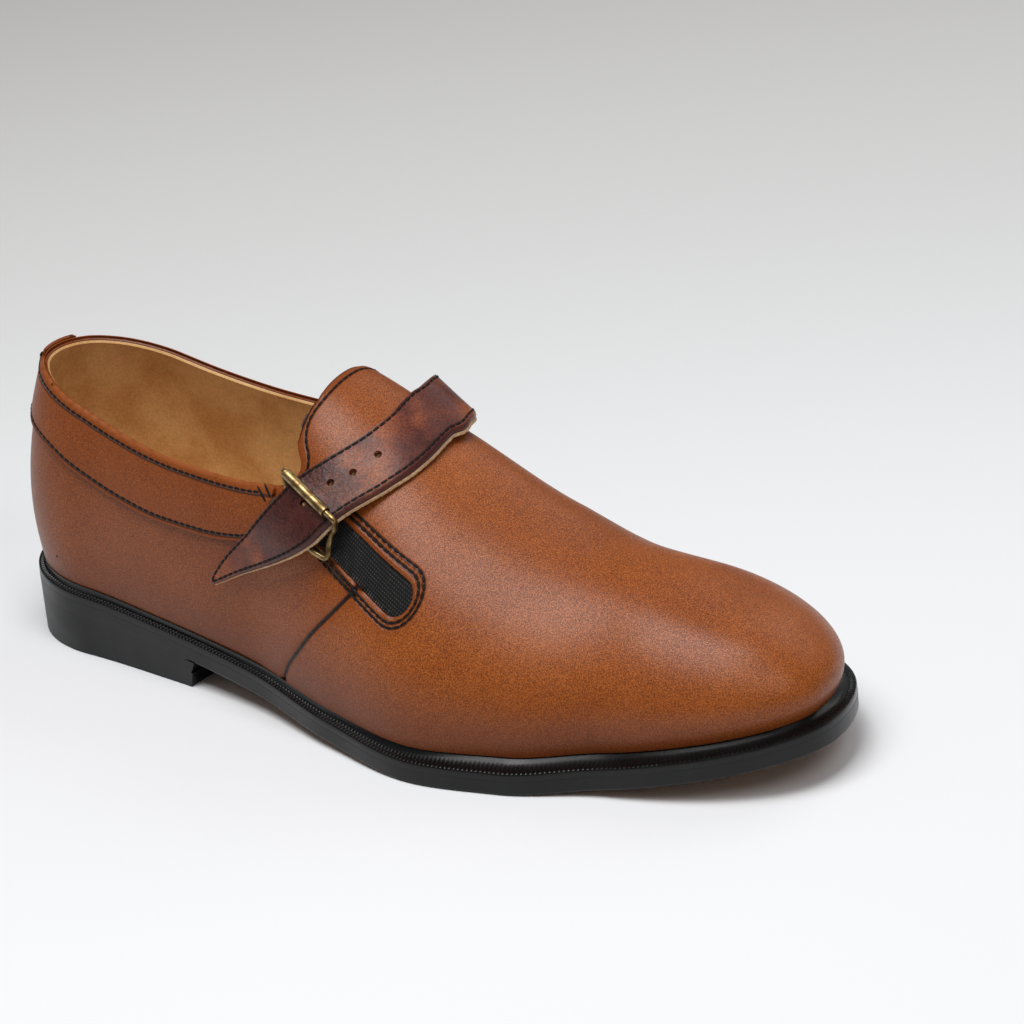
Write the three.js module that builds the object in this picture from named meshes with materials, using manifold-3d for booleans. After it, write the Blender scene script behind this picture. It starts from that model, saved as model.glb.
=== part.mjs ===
// Monk strap loafer, right shoe, in millimetres.
// +X points to the toe, +Y to the medial side, +Z up. The origin lies on the floor under the
// middle of the shoe. Inside this file the stations run from 0 at the heel back to LENGTH at
// the toe, and the finished group is moved so that its middle stands over the origin.
//
// The upper follows the last: ribs rise from the feather line, the edge of the last's bottom,
// to the ridge that runs over the instep. A point of a rib is named by its station and its
// girth, which is -1 at the lateral feather line, 0 on the ridge and 1 at the medial one.
import * as THREE from 'three';
import { mergeVertices } from 'three/addons/utils/BufferGeometryUtils.js';
import Module from 'manifold-3d';

const wasm = await Module();
wasm.setup();

// Driving dimensions of the shoe
const LENGTH = 300;
const LATERAL = -1;
const MEDIAL = 1;
const GAP = 0.3;

// Steps from heel to toe along each side of every ring, the same for pieces that meet
const STEPS = 40;

// Bottom: outsole, welt, heel and insole
const OUTSOLE_THICKNESS = 4.4;
const OUTSOLE_BEVEL = 0.7;
const WELT_THICKNESS = 2.7;
const WELT_RISE = 2.5;
const WELT_SETBACK = 0.4;
const WELT_TUCK = 0.5;
const HEEL_LENGTH = 84;
const HEEL_BREAST_RAKE = 1.6;
const HEEL_CUT = { from: -10, to: 30 };
const TOP_PIECE_THICKNESS = 5;
const INSOLE_THICKNESS = 6.25;
const INSOLE_PLAY = 0.4;
const HEEL_ROUNDING = 37;
const LATERAL_TOE_ROUNDING = 88;
const MEDIAL_TOE_ROUNDING = 50;
const TOE_SWING = 1.5;
const SWING_START = 40;

// Upper
const WALL = 1.9;
const BULGE_TOP = 0.8;
const LEAN_POWER = 2;

// Reach of the cuts past the shoe: to each side, behind the heel, upwards, and in a sheet of
// leather below the feather line
const SIDE_REACH = 90;
const BEHIND = -20;
const ABOVE = 150;
const SHEET_DROP = 1.5;

// Overlays on the quarters
const BAND_RISE = 1.1;
const STRIP_RISE = 1.1;
const STRIP_TOP_WIDTH = 15;
const STRIP_FOOT_WIDTH = 11;
const STRIP_REACH = 20;
const STRIP_FOOT_Z = 31;
const STRIP_TOP_Z = 92;
const STRIP_START = -10;

// Elastic gores in the windows of the upper
const GORE_WIDTH = 10;
const GORE_TOP = { x: 137.2, z: 72 };
const GORE_FOOT = { x: 176, z: 53.2 };
const GORE_CAP_STEPS = 10;
const GORE_CUT_START = 8;
const GORE_RECESS = 0.6;
const GORE_THICKNESS = 1.0;

// Strap, chape and buckle
const STRAP_THICKNESS = 2.3;
const WIRE_RADIUS = 0.95;
const ROLLER_RADIUS = 1.7;
const ROLLER_LENGTH = 19.4;
const ROLLER_PLAY = 0.4;
const CHAPE_WIDTH = 17;
const CHAPE_THICKNESS = 1.0;

// Half widths of the sole's outline on each side of the line through heel and toe
const OUTLINE = [
  { x: 0, lateral: 34, medial: 33 },
  { x: 35, lateral: 32.8, medial: 32.2 },
  { x: 72, lateral: 35.4, medial: 32.8 },
  { x: 110, lateral: 40.3, medial: 34 },
  { x: 150, lateral: 51.5, medial: 37.5 },
  { x: 185, lateral: 58.5, medial: 45 },
  { x: 215, lateral: 53, medial: 50 },
  { x: 245, lateral: 44, medial: 51.5 },
  { x: 300, lateral: 43, medial: 46 },
];

// Height of the outsole's underside: seat, waist, the flat tread and the toe spring
const UNDERSIDE = [
  { x: 0, z: 15.4 },
  { x: 40, z: 13 },
  { x: 72, z: 10.2 },
  { x: 110, z: 6.3 },
  { x: 150, z: 2.2 },
  { x: 190, z: 0 },
  { x: 216, z: 0 },
  { x: 240, z: 2 },
  { x: 270, z: 6.8 },
  { x: 300, z: 12.4 },
];

// Ridge of the last from above the heel over the instep and down to the toe box
const RIDGE = [
  { x: 25, y: 0, z: 112.6 },
  { x: 60, y: 0, z: 111.5 },
  { x: 95, y: 1, z: 110.5 },
  { x: 130, y: 2.5, z: 100.8 },
  { x: 160, y: 3.5, z: 86 },
  { x: 190, y: 3.5, z: 69.5 },
  { x: 220, y: 3, z: 57.5 },
  { x: 245, y: 3, z: 53 },
  { x: 268, y: 1.5, z: 47.5 },
];

// Station on the ridge where the rib from a station of the feather line ends: the ribs of the
// toe fan out from one point
const FAN = [
  { x: 0, ridge: 25 },
  { x: 75, ridge: 85.8 },
  { x: 150, ridge: 146.5 },
  { x: 212, ridge: 198 },
  { x: 256, ridge: 242 },
  { x: 280, ridge: 261 },
  { x: 294, ridge: 267.2 },
  { x: 300, ridge: 268 },
];

// Shape of the ribs: fullness is the exponent of their arch, bulge how far they swell past
// the feather line, and inset how far that line lies inside the sole's edge
const RIBS = [
  { x: 0, fullness: 2.0, bulge: 3.4, inset: 2.5 },
  { x: 75, fullness: 2.3, bulge: 3.5, inset: 1.9 },
  { x: 150, fullness: 2.2, bulge: 1.6, inset: 3.0 },
  { x: 225, fullness: 2.1, bulge: 3.0, inset: 6.3 },
  { x: 300, fullness: 2.8, bulge: 4.0, inset: 5.5 },
];

// Profile of the opening, seen from the side: topline, throat and the edge of the tongue
const TOPLINE = [
  { x: BEHIND, z: 91.5 },
  { x: 8, z: 90.6 },
  { x: 20, z: 88.8 },
  { x: 37, z: 84.6 },
  { x: 56, z: 79.7 },
  { x: 75, z: 76.4 },
  { x: 93, z: 75 },
  { x: 112, z: 74.6 },
  { x: 126, z: 76 },
];
const TONGUE_TOP = 126;
const TONGUE_EDGE = [
  { x: 131, z: 79 },
  { x: 132, z: 82.5 },
  { x: 129.2, z: 86.3 },
  { x: 127.2, z: 91 },
  { x: 127.2, z: 95.5 },
  { x: 128.2, z: 99 },
  { x: 128, z: 103 },
  { x: TONGUE_TOP, z: 125 },
];

// Lower edge of the collar band, seen from the side
const BAND_FRONT = 124.5;
const BAND_CORNER_Z = 76;
const BAND_EDGE = [
  { x: BEHIND, z: 74 },
  { x: 4, z: 73 },
  { x: 25, z: 69 },
  { x: 41, z: 63 },
  { x: 60, z: 58 },
  { x: 78, z: 55.4 },
  { x: 96, z: 55 },
  { x: 112, z: 56.5 },
  { x: 121, z: 60 },
  { x: BAND_FRONT, z: 68 },
];

// Strap from its pointed end on the lateral side over the instep to the medial quarter. Back
// and front are the stations of its two edges, and the lifts are the heights of its underside
// above the upper there: it climbs over the buckle's bars and stands off the tongue
const STRAP = [
  { girth: -0.862, back: 101, front: 102.2, liftBack: 1.9, liftFront: 1.9 },
  { girth: -0.848, back: 101.6, front: 105.4, liftBack: 1.9, liftFront: 1.9 },
  { girth: -0.815, back: 104.5, front: 112.2, liftBack: 1.9, liftFront: 1.9 },
  { girth: -0.77, back: 109.4, front: 121.4, liftBack: 2.1, liftFront: 2.1 },
  { girth: -0.71, back: 116.8, front: 132.7, liftBack: 2.9, liftFront: 2.9 },
  { girth: -0.655, back: 123, front: 141.6, liftBack: 4.2, liftFront: 4.2 },
  { girth: -0.595, back: 128.9, front: 148.6, liftBack: 5, liftFront: 5 },
  { girth: -0.55, back: 132.9, front: 152.1, liftBack: 5.35, liftFront: 5.25 },
  { girth: -0.51, back: 135.6, front: 154.7, liftBack: 5.2, liftFront: 5.05 },
  { girth: -0.46, back: 138.4, front: 157.5, liftBack: 4, liftFront: 4 },
  { girth: -0.39, back: 143.2, front: 161.8, liftBack: 3.3, liftFront: 2.8 },
  { girth: -0.3, back: 148.6, front: 166.7, liftBack: 2.9, liftFront: 1.7 },
  { girth: -0.2, back: 153.9, front: 171.4, liftBack: 3.6, liftFront: 1.6 },
  { girth: -0.08, back: 157.2, front: 174.5, liftBack: 4.9, liftFront: 2.2 },
  { girth: 0.04, back: 157.4, front: 175.3, liftBack: 6.4, liftFront: 3.2 },
  { girth: 0.16, back: 154.6, front: 171.5, liftBack: 7.6, liftFront: 4.4 },
  { girth: 0.29, back: 148.1, front: 164.9, liftBack: 7.6, liftFront: 4.6 },
  { girth: 0.42, back: 137.6, front: 156.1, liftBack: 5.8, liftFront: 3.6 },
  { girth: 0.53, back: 126.8, front: 146.4, liftBack: 3.6, liftFront: 2.4 },
  { girth: 0.62, back: 117.5, front: 137.8, liftBack: 1.9, liftFront: 1.7 },
];

// Buckle, in its own axes: along the strap towards the point, across it towards the floor and
// out from the shoe. The rows run down one half of its bent frame, from the front bar that
// carries the roller past the waist at the centre bar to the middle of the rear bar
const BUCKLE = { station: 141.7, girth: -0.4924, skew: 0.0107, shift: 1.4, waist: 10.9 };
const FRAME = [
  { along: 0, across: 0, out: 9.05 },
  { along: 0, across: 6, out: 9.05 },
  { along: 0, across: 11.4, out: 9.05 },
  { along: 0.3, across: 12.5, out: 8.2 },
  { along: 2.2, across: 12.1, out: 4.8 },
  { along: 4.4, across: 10.9, out: 2.1 },
  { along: 7, across: 11.6, out: 0.9 },
  { along: 9.2, across: 13.1, out: 0 },
  { along: 11, across: 13.4, out: -0.2 },
  { along: 11.8, across: 10.6, out: -0.1 },
  { along: 12.2, across: 7.2, out: 0.2 },
  { along: 12.3, across: 0, out: 0.5 },
];
const SKEW_REACH = 12;
const CENTRE_BAR = { along: 4.4, out: 2.1 };

// Chape under the strap, from its fold round the centre bar to its end on the quarter
const CHAPE = [
  { girth: -0.7, back: 122, front: 131, lift: 1.7 },
  { girth: -0.66, back: 126, front: 138, lift: 1.8 },
  { girth: -0.6, back: 130.2, front: 145.5, lift: 1 },
  { girth: -0.555, back: 132.3, front: 148.4, lift: 0.8 },
  { girth: -0.512, back: 134.3, front: 150.4, lift: 0.4 },
];
const CHAPE_SLOT = 3.2;

// Prong from the centre bar up through the strap to the back of the roller
const PRONG_RADIUS = 0.8;
const PRONG_EYE = { inner: 1.25, outer: 2.05, width: 1.8 };
const PRONG = [
  { along: 4.2, across: 0.9, out: 3.6 },
  { along: 3.5, across: 0.9, out: 5.6 },
  { along: 2.9, across: 0.9, out: 7.6 },
];

const clamp = THREE.MathUtils.clamp;
const lerp = THREE.MathUtils.lerp;

// Smooth curve through the rows of a table, without overshoot between them
function curveOf(rows, column, key = 'x') {
  const xs = rows.map((row) => row[key]);
  const ys = rows.map((row) => row[column]);
  const last = xs.length - 1;
  const slopes = xs.slice(1).map((x, i) => (ys[i + 1] - ys[i]) / (x - xs[i]));
  const tangents = xs.map((x, i) => {
    if (i === 0) return slopes[0];
    if (i === last) return slopes[last - 1];
    const before = slopes[i - 1];
    const after = slopes[i];
    if (before * after <= 0) return 0;
    const stepBefore = xs[i] - xs[i - 1];
    const stepAfter = xs[i + 1] - xs[i];
    const weightBefore = 2 * stepAfter + stepBefore;
    const weightAfter = stepAfter + 2 * stepBefore;
    return (weightBefore + weightAfter) / (weightBefore / before + weightAfter / after);
  });
  return (x) => {
    const at = clamp(x, xs[0], xs[last]);
    let i = 0;
    while (i < last - 1 && at > xs[i + 1]) i += 1;
    const step = xs[i + 1] - xs[i];
    const t = (at - xs[i]) / step;
    const rise = ys[i + 1] - ys[i];
    const bend = (tangents[i] * step - rise) * (1 - t) - (tangents[i + 1] * step - rise) * t;
    return ys[i] + rise * t + t * (1 - t) * bend;
  };
}

const halfWidth = { [LATERAL]: curveOf(OUTLINE, 'lateral'), [MEDIAL]: curveOf(OUTLINE, 'medial') };
const undersideZ = curveOf(UNDERSIDE, 'z');
const ridgeY = curveOf(RIDGE, 'y');
const ridgeZ = curveOf(RIDGE, 'z');
const ridgeSlope = (x) => ridgeZ(x) - ridgeZ(x - 1);
const fanX = curveOf(FAN, 'ridge');
const fullness = curveOf(RIBS, 'fullness');
const bulge = curveOf(RIBS, 'bulge');
const inset = curveOf(RIBS, 'inset');
const weltTopZ = (x) => undersideZ(x) + OUTSOLE_THICKNESS + GAP + WELT_THICKNESS;
const featherZ = (x) => weltTopZ(x) + WELT_RISE;

// Quarter circle that closes an outline over the given reach before its end
function rounding(distance, reach) {
  const t = clamp(1 - distance / reach, 0, 1);
  return Math.sqrt(Math.max(1 - t * t, 0));
}

// Share of the length for a station, spaced closely at heel and toe, and back
const stationOf = (share) => (LENGTH * (1 - Math.cos(Math.PI * share))) / 2;
const shareOf = (station) => Math.acos(1 - (2 * station) / LENGTH) / Math.PI;

// Point of the sole's edge, seen from above, moved inwards by the given margin
function edgePoint(share, side, margin = 0) {
  const at = (p) => {
    const x = stationOf(clamp(p, 0, 1));
    const toeReach = side === LATERAL ? LATERAL_TOE_ROUNDING : MEDIAL_TOE_ROUNDING;
    const ends = rounding(x, HEEL_ROUNDING) * rounding(LENGTH - x, toeReach);
    const swing = TOE_SWING * clamp((x - SWING_START) / (LENGTH - SWING_START), 0, 1) ** 2;
    return new THREE.Vector2(x, swing + side * halfWidth[side](x) * ends);
  };
  const small = 0.002;
  const along = at(share + small).sub(at(share - small)).normalize();
  const isEnd = share < small || share > 1 - small;
  const inwards = isEnd
    ? new THREE.Vector2(share < small ? 1 : -1, 0)
    : new THREE.Vector2(-along.y, along.x).multiplyScalar(-side);
  return at(share).addScaledVector(inwards, margin);
}

// Point of the last at a share of the length and a girth, moved outwards by the given offset
function lastPoint(share, girth, offset = 0) {
  const side = girth < 0 ? LATERAL : MEDIAL;
  const station = stationOf(share);
  const foot = edgePoint(share, side, inset(station) - offset);
  const footZ = featherZ(foot.x);
  const ridgeX = fanX(station);
  const ridge = new THREE.Vector2(ridgeX, ridgeY(ridgeX));
  const topZ = ridgeZ(ridgeX) + offset;
  const turn = (1 - Math.abs(girth)) * (Math.PI / 2);
  const power = 2 / fullness(station);
  const inwards = 1 - Math.max(Math.cos(turn), 0) ** power;
  const upwards = Math.sin(turn) ** power;
  const across = ridge.clone().sub(foot);
  const reach = across.length();
  const swell = Math.sin(Math.PI * clamp(upwards / BULGE_TOP, 0, 1)) * (1 - upwards);
  const travel = reach * inwards - bulge(station) * swell;
  const at = foot.addScaledVector(across, travel / reach);
  const lean = ridgeSlope(ridgeX) * (at.x - ridgeX) * upwards ** LEAN_POWER;
  return new THREE.Vector3(at.x, at.y, footZ + upwards * (topZ - footZ) + lean);
}

const lastAt = (station, girth, offset = 0) => lastPoint(shareOf(station), girth, offset);

// Closed geometry from rows of points that each run round the piece. A row may be a single
// point; otherwise first and last row are closed by the given caps
function geometryFrom(points, triangles) {
  const positions = new Float32Array(points.flatMap((point) => point.toArray()));
  const geometry = new THREE.BufferGeometry();
  geometry.setAttribute('position', new THREE.BufferAttribute(positions, 3));
  geometry.setIndex(triangles.flat());
  return dropSlivers(mergeVertices(geometry, 1e-4));
}

// Removes the triangles that merging has folded to a line
function dropSlivers(geometry) {
  const index = geometry.getIndex().array;
  const kept = [];
  for (let i = 0; i < index.length; i += 3) {
    const [a, b, c] = [index[i], index[i + 1], index[i + 2]];
    if (a !== b && b !== c && c !== a) kept.push(a, b, c);
  }
  geometry.setIndex(kept);
  return geometry;
}

// Solid between two grids of the same size: outer(i, j) and inner(i, j) for i rows, j columns
function slab(rows, columns, outer, inner) {
  const points = [];
  const id = (layer, i, j) => (layer * (rows + 1) + i) * (columns + 1) + j;
  for (const layer of [outer, inner]) {
    for (let i = 0; i <= rows; i += 1) {
      for (let j = 0; j <= columns; j += 1) points.push(layer(i / rows, j / columns));
    }
  }
  const triangles = [];
  const quad = (a, b, c, d) => triangles.push([a, b, c], [a, c, d]);
  for (let i = 0; i < rows; i += 1) {
    for (let j = 0; j < columns; j += 1) {
      quad(id(0, i, j), id(0, i, j + 1), id(0, i + 1, j + 1), id(0, i + 1, j));
      quad(id(1, i, j), id(1, i + 1, j), id(1, i + 1, j + 1), id(1, i, j + 1));
    }
    quad(id(0, i, 0), id(0, i + 1, 0), id(1, i + 1, 0), id(1, i, 0));
    quad(id(0, i, columns), id(1, i, columns), id(1, i + 1, columns), id(0, i + 1, columns));
  }
  for (let j = 0; j < columns; j += 1) {
    quad(id(0, 0, j), id(1, 0, j), id(1, 0, j + 1), id(0, 0, j + 1));
    quad(id(0, rows, j), id(0, rows, j + 1), id(1, rows, j + 1), id(1, rows, j));
  }
  return geometryFrom(points, triangles);
}

// Solid of closed rings of equal length, one above the other, with flat fans at both ends.
// Each ring runs from the heel along the lateral side to the toe and back
function stack(rings) {
  const count = rings[0].length;
  const half = count / 2;
  const points = rings.flat();
  const triangles = [];
  for (let row = 0; row < rings.length - 1; row += 1) {
    for (let k = 0; k < count; k += 1) {
      const next = (k + 1) % count;
      const [a, b] = [row * count + k, row * count + next];
      triangles.push([a, b, b + count], [a, b + count, a + count]);
    }
  }
  for (const [row, isTop] of [[0, false], [rings.length - 1, true]]) {
    for (let k = 0; k < half; k += 1) {
      const lateral = row * count + k;
      const medial = row * count + ((count - k) % count);
      const medialNext = row * count + count - k - 1;
      const quads = [[lateral, lateral + 1, medialNext], [lateral, medialNext, medial]];
      for (const [a, b, c] of quads) triangles.push(isTop ? [a, b, c] : [a, c, b]);
    }
  }
  return geometryFrom(points, triangles);
}

// Ring of points round the shoe: place(share, side) for each step on both sides
function ringOf(place) {
  const lateral = Array.from({ length: STEPS }, (_, k) => place(k / STEPS, LATERAL));
  const medial = Array.from({ length: STEPS }, (_, k) => place(1 - k / STEPS, MEDIAL));
  return [...lateral, ...medial];
}

function toManifold(geometry) {
  const bare = geometry.clone();
  bare.deleteAttribute('normal');
  bare.deleteAttribute('uv');
  const merged = dropSlivers(mergeVertices(bare, 1e-4));
  const mesh = new wasm.Mesh({
    numProp: 3,
    vertProperties: new Float32Array(merged.getAttribute('position').array),
    triVerts: new Uint32Array(merged.getIndex().array),
  });
  return new wasm.Manifold(mesh);
}

function toGeometry(solid) {
  const mesh = solid.getMesh();
  const geometry = new THREE.BufferGeometry();
  geometry.setAttribute('position', new THREE.BufferAttribute(mesh.vertProperties, 3));
  geometry.setIndex(new THREE.BufferAttribute(mesh.triVerts, 1));
  return geometry;
}

// Prism with the given side profile, reaching from one y to the other
function sidePrism(profile, fromY, toY) {
  const shape = new THREE.Shape(profile.map(({ x, z }) => new THREE.Vector2(x, z)));
  const geometry = new THREE.ExtrudeGeometry(shape, { depth: toY - fromY, bevelEnabled: false });
  geometry.rotateX(Math.PI / 2);
  geometry.translate(0, toY, 0);
  return toManifold(geometry);
}

// Points of a smooth line through a profile's rows
function smoothProfile(rows, steps) {
  const line = new THREE.CatmullRomCurve3(rows.map(({ x, z }) => new THREE.Vector3(x, 0, z)));
  return line.getSpacedPoints(steps).map((point) => ({ x: point.x, z: point.z }));
}

// The last as a solid, grown or shrunk by an offset, with its foot lowered by a drop
function lastSolid(offset, drop = 0, rows = 12) {
  const rings = [];
  if (drop > 0) {
    rings.push(ringOf((share, side) => {
      const foot = lastPoint(share, side, offset);
      return foot.setZ(foot.z - drop);
    }));
  }
  for (let row = 0; row < rows; row += 1) {
    const rise = row / rows;
    rings.push(ringOf((share, side) => lastPoint(share, side * (1 - rise), offset)));
  }
  rings.push(ringOf((share, side) => lastPoint(share, side * 1e-9, offset)));
  return toManifold(stack(rings));
}

// Outsole: a leather plate with the shoe's outline, waist and toe spring, its lower edge eased
function outsoleGeometry() {
  const level = (height, margin) => ringOf((share, side) => {
    const edge = edgePoint(share, side, margin);
    return new THREE.Vector3(edge.x, edge.y, undersideZ(edge.x) + height);
  });
  return stack([
    level(0, OUTSOLE_BEVEL),
    level(OUTSOLE_BEVEL, 0),
    level(OUTSOLE_THICKNESS, 0),
  ]);
}

// Welt: a strip all the way round that rises from the sole's edge to the upper
function weltGeometry() {
  const foot = OUTSOLE_THICKNESS + GAP;
  const level = (height, margin) => ringOf((share, side) => {
    const station = stationOf(share);
    const edge = edgePoint(share, side, margin(station));
    return new THREE.Vector3(edge.x, edge.y, undersideZ(edge.x) + height);
  });
  const outerEdge = () => WELT_SETBACK;
  const innerEdge = (station) => inset(station) + WALL;
  const seat = (station) => inset(station) - WELT_TUCK;
  const rings = [
    level(foot, outerEdge),
    level(foot + WELT_THICKNESS, outerEdge),
    level(foot + WELT_THICKNESS + WELT_RISE - GAP, seat),
    level(foot + WELT_THICKNESS + WELT_RISE - GAP, innerEdge),
    level(foot, innerEdge),
  ];
  return closedRings(rings);
}

// Solid of closed rings that follow each other round a section, the last joined to the first
function closedRings(rings) {
  const count = rings[0].length;
  const triangles = [];
  for (let row = 0; row < rings.length; row += 1) {
    const above = ((row + 1) % rings.length) * count;
    for (let k = 0; k < count; k += 1) {
      const next = (k + 1) % count;
      const [a, b] = [row * count + k, row * count + next];
      triangles.push([a, b, above + next], [a, above + next, above + k]);
    }
  }
  return geometryFrom(rings.flat(), triangles);
}

// Insole: fills the bottom inside the welt and the upper's wall
function insoleGeometry() {
  const level = (height) => ringOf((share, side) => {
    const station = stationOf(share);
    const edge = edgePoint(share, side, inset(station) + WALL + INSOLE_PLAY);
    return new THREE.Vector3(edge.x, edge.y, undersideZ(edge.x) + height);
  });
  const foot = OUTSOLE_THICKNESS + GAP;
  return stack([level(foot), level(foot + INSOLE_THICKNESS)]);
}

// Heel block under the seat, cut off by a raked breast
function heelSolid(bottom, top) {
  const level = (z) => ringOf((share, side) => {
    const edge = edgePoint(share, side, 0);
    return new THREE.Vector3(edge.x, edge.y, z(edge.x));
  });
  const block = toManifold(stack([level(bottom), level(top)]));
  const breast = [
    { x: BEHIND, z: HEEL_CUT.from },
    { x: HEEL_LENGTH - HEEL_BREAST_RAKE, z: HEEL_CUT.from },
    { x: HEEL_LENGTH + HEEL_BREAST_RAKE, z: HEEL_CUT.to },
    { x: BEHIND, z: HEEL_CUT.to },
  ];
  return block.intersect(sidePrism(breast, -SIDE_REACH, SIDE_REACH));
}

// Opening of the shoe: what lies above topline, throat and tongue
function openingSolid() {
  const profile = [
    ...smoothProfile(TOPLINE, 26),
    ...smoothProfile(TONGUE_EDGE, 12),
    { x: TONGUE_TOP, z: ABOVE },
    { x: BEHIND, z: ABOVE },
  ];
  return sidePrism(profile, -SIDE_REACH, SIDE_REACH);
}

// Window of a gore: a slot with round ends, seen from the side, grown by a margin
function goreProfile(margin) {
  const axis = new THREE.Vector2(GORE_FOOT.x - GORE_TOP.x, GORE_FOOT.z - GORE_TOP.z);
  const heading = axis.angle();
  const radius = GORE_WIDTH / 2 + margin;
  const cap = (centre, from) => Array.from({ length: GORE_CAP_STEPS + 1 }, (_, i) => {
    const angle = from + (Math.PI * i) / GORE_CAP_STEPS;
    return {
      x: centre.x + radius * Math.cos(angle),
      z: centre.z + radius * Math.sin(angle),
    };
  });
  return [...cap(GORE_FOOT, heading - Math.PI / 2), ...cap(GORE_TOP, heading + Math.PI / 2)];
}

function gorePrism(side, margin) {
  const reach = [side * GORE_CUT_START, side * SIDE_REACH];
  return sidePrism(goreProfile(margin), Math.min(...reach), Math.max(...reach));
}

function upperSolid() {
  return lastSolid(0)
    .subtract(lastSolid(-WALL, SHEET_DROP))
    .subtract(openingSolid())
    .subtract(gorePrism(LATERAL, 0))
    .subtract(gorePrism(MEDIAL, 0));
}

function goreSolid(side) {
  const inside = lastSolid(-GORE_RECESS - GORE_THICKNESS, SHEET_DROP);
  const sheet = lastSolid(-GORE_RECESS).subtract(inside);
  return sheet.intersect(gorePrism(side, -GAP));
}

// Collar band: laid round the top of the quarters, from strap to strap
function collarBandSolid() {
  const sheet = lastSolid(GAP + BAND_RISE).subtract(lastSolid(GAP, SHEET_DROP));
  const profile = [
    ...smoothProfile(BAND_EDGE, 22),
    { x: BAND_FRONT, z: BAND_CORNER_Z },
    ...smoothProfile(TOPLINE, 26).reverse().filter(({ x }) => x < BAND_FRONT - 1.5),
  ];
  return sheet.intersect(sidePrism(profile, -SIDE_REACH, SIDE_REACH));
}

// Heel strip: a narrow strip down the back seam, over the collar band
function heelStripSolid() {
  const base = 2 * GAP + BAND_RISE;
  const sheet = lastSolid(base + STRIP_RISE).subtract(lastSolid(base, SHEET_DROP));
  const shape = new THREE.Shape([
    new THREE.Vector2(-STRIP_FOOT_WIDTH / 2, STRIP_FOOT_Z),
    new THREE.Vector2(STRIP_FOOT_WIDTH / 2, STRIP_FOOT_Z),
    new THREE.Vector2(STRIP_TOP_WIDTH / 2, STRIP_TOP_Z),
    new THREE.Vector2(-STRIP_TOP_WIDTH / 2, STRIP_TOP_Z),
  ]);
  const depth = STRIP_REACH - STRIP_START;
  const geometry = new THREE.ExtrudeGeometry(shape, { depth, bevelEnabled: false });
  geometry.rotateX(Math.PI / 2);
  geometry.rotateZ(Math.PI / 2);
  geometry.translate(STRIP_START, 0, 0);
  return sheet.intersect(toManifold(geometry));
}

// Closed band that follows the last between two edges: rows of girth, stations and lifts
function bandGeometry(rows, lifts, thickness, steps, columns) {
  const [backLift, frontLift] = lifts.map((column) => curveOf(rows, column, 'girth'));
  const back = curveOf(rows, 'back', 'girth');
  const front = curveOf(rows, 'front', 'girth');
  const [from, to] = [rows[0].girth, rows[rows.length - 1].girth];
  const layer = (extra) => (i, j) => {
    const girth = lerp(from, to, i);
    const lift = lerp(backLift(girth), frontLift(girth), j);
    return lastAt(lerp(back(girth), front(girth), j), girth, lift + extra);
  };
  return slab(steps, columns, layer(thickness), layer(0));
}

// Strap: one band with a hole for the prong
function strapSolid() {
  const band = bandGeometry(STRAP, ['liftBack', 'liftFront'], STRAP_THICKNESS, 44, 4);
  const line = PRONG.map(({ along, across, out }) => bucklePoint(along, across, out));
  return toManifold(band).subtract(toManifold(rod(line, PRONG_RADIUS + GAP, false, 8, 4)));
}

// Axes of the buckle where it lies on the shoe
function buckleFrame() {
  const { station, girth, skew } = BUCKLE;
  const base = lastAt(station, girth, 0);
  const across = lastAt(station + SKEW_REACH, girth - skew, 0)
    .sub(lastAt(station - SKEW_REACH, girth + skew, 0)).normalize();
  const out = lastAt(station, girth, 5).sub(base);
  out.addScaledVector(across, -out.dot(across)).normalize();
  const along = new THREE.Vector3().crossVectors(across, out).normalize();
  if (along.z > 0) along.negate();
  return { base, across, out, along };
}

const axes = buckleFrame();

function bucklePoint(along, across, out) {
  return axes.base.clone()
    .addScaledVector(axes.along, along)
    .addScaledVector(axes.across, across)
    .addScaledVector(axes.out, out);
}

// Round rod along a line of points, with flat ends or closed on itself
function rod(points, radius, isClosed, sides = 8, steps = 40) {
  const circle = new THREE.Shape(Array.from({ length: sides }, (_, i) => {
    const angle = (2 * Math.PI * i) / sides;
    return new THREE.Vector2(radius * Math.cos(angle), radius * Math.sin(angle));
  }));
  const path = new THREE.CatmullRomCurve3(points, isClosed, 'centripetal');
  return new THREE.ExtrudeGeometry(circle, { steps, bevelEnabled: false, extrudePath: path });
}

function buckleFrameSolid() {
  const { shift, waist } = BUCKLE;
  const half = (sign) => FRAME.map((row) => bucklePoint(row.along, shift + sign * row.across, row.out));
  const loop = [...half(1), ...half(-1).slice(1, -1).reverse()];
  const ring = toManifold(rod(loop, WIRE_RADIUS, true, 8, 56));
  const { along, out } = CENTRE_BAR;
  const ends = [-1, 1].map((sign) => bucklePoint(along, shift + sign * waist, out));
  return ring.add(toManifold(rod(ends, WIRE_RADIUS, false, 8, 1)));
}

// Straight rod across the buckle, with its middle moved across by a shift
function crossRod(along, out, length, radius, sides = 12, shift = 0) {
  const ends = [-1, 1].map((sign) => bucklePoint(along, shift + (sign * length) / 2, out));
  return toManifold(rod(ends, radius, false, sides, 1));
}

// Roller: a tube round the front bar
function rollerSolid() {
  const { along, out } = FRAME[0];
  return crossRod(along, out, ROLLER_LENGTH, ROLLER_RADIUS)
    .subtract(crossRod(along, out, 2 * ROLLER_LENGTH, WIRE_RADIUS + ROLLER_PLAY));
}

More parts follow.
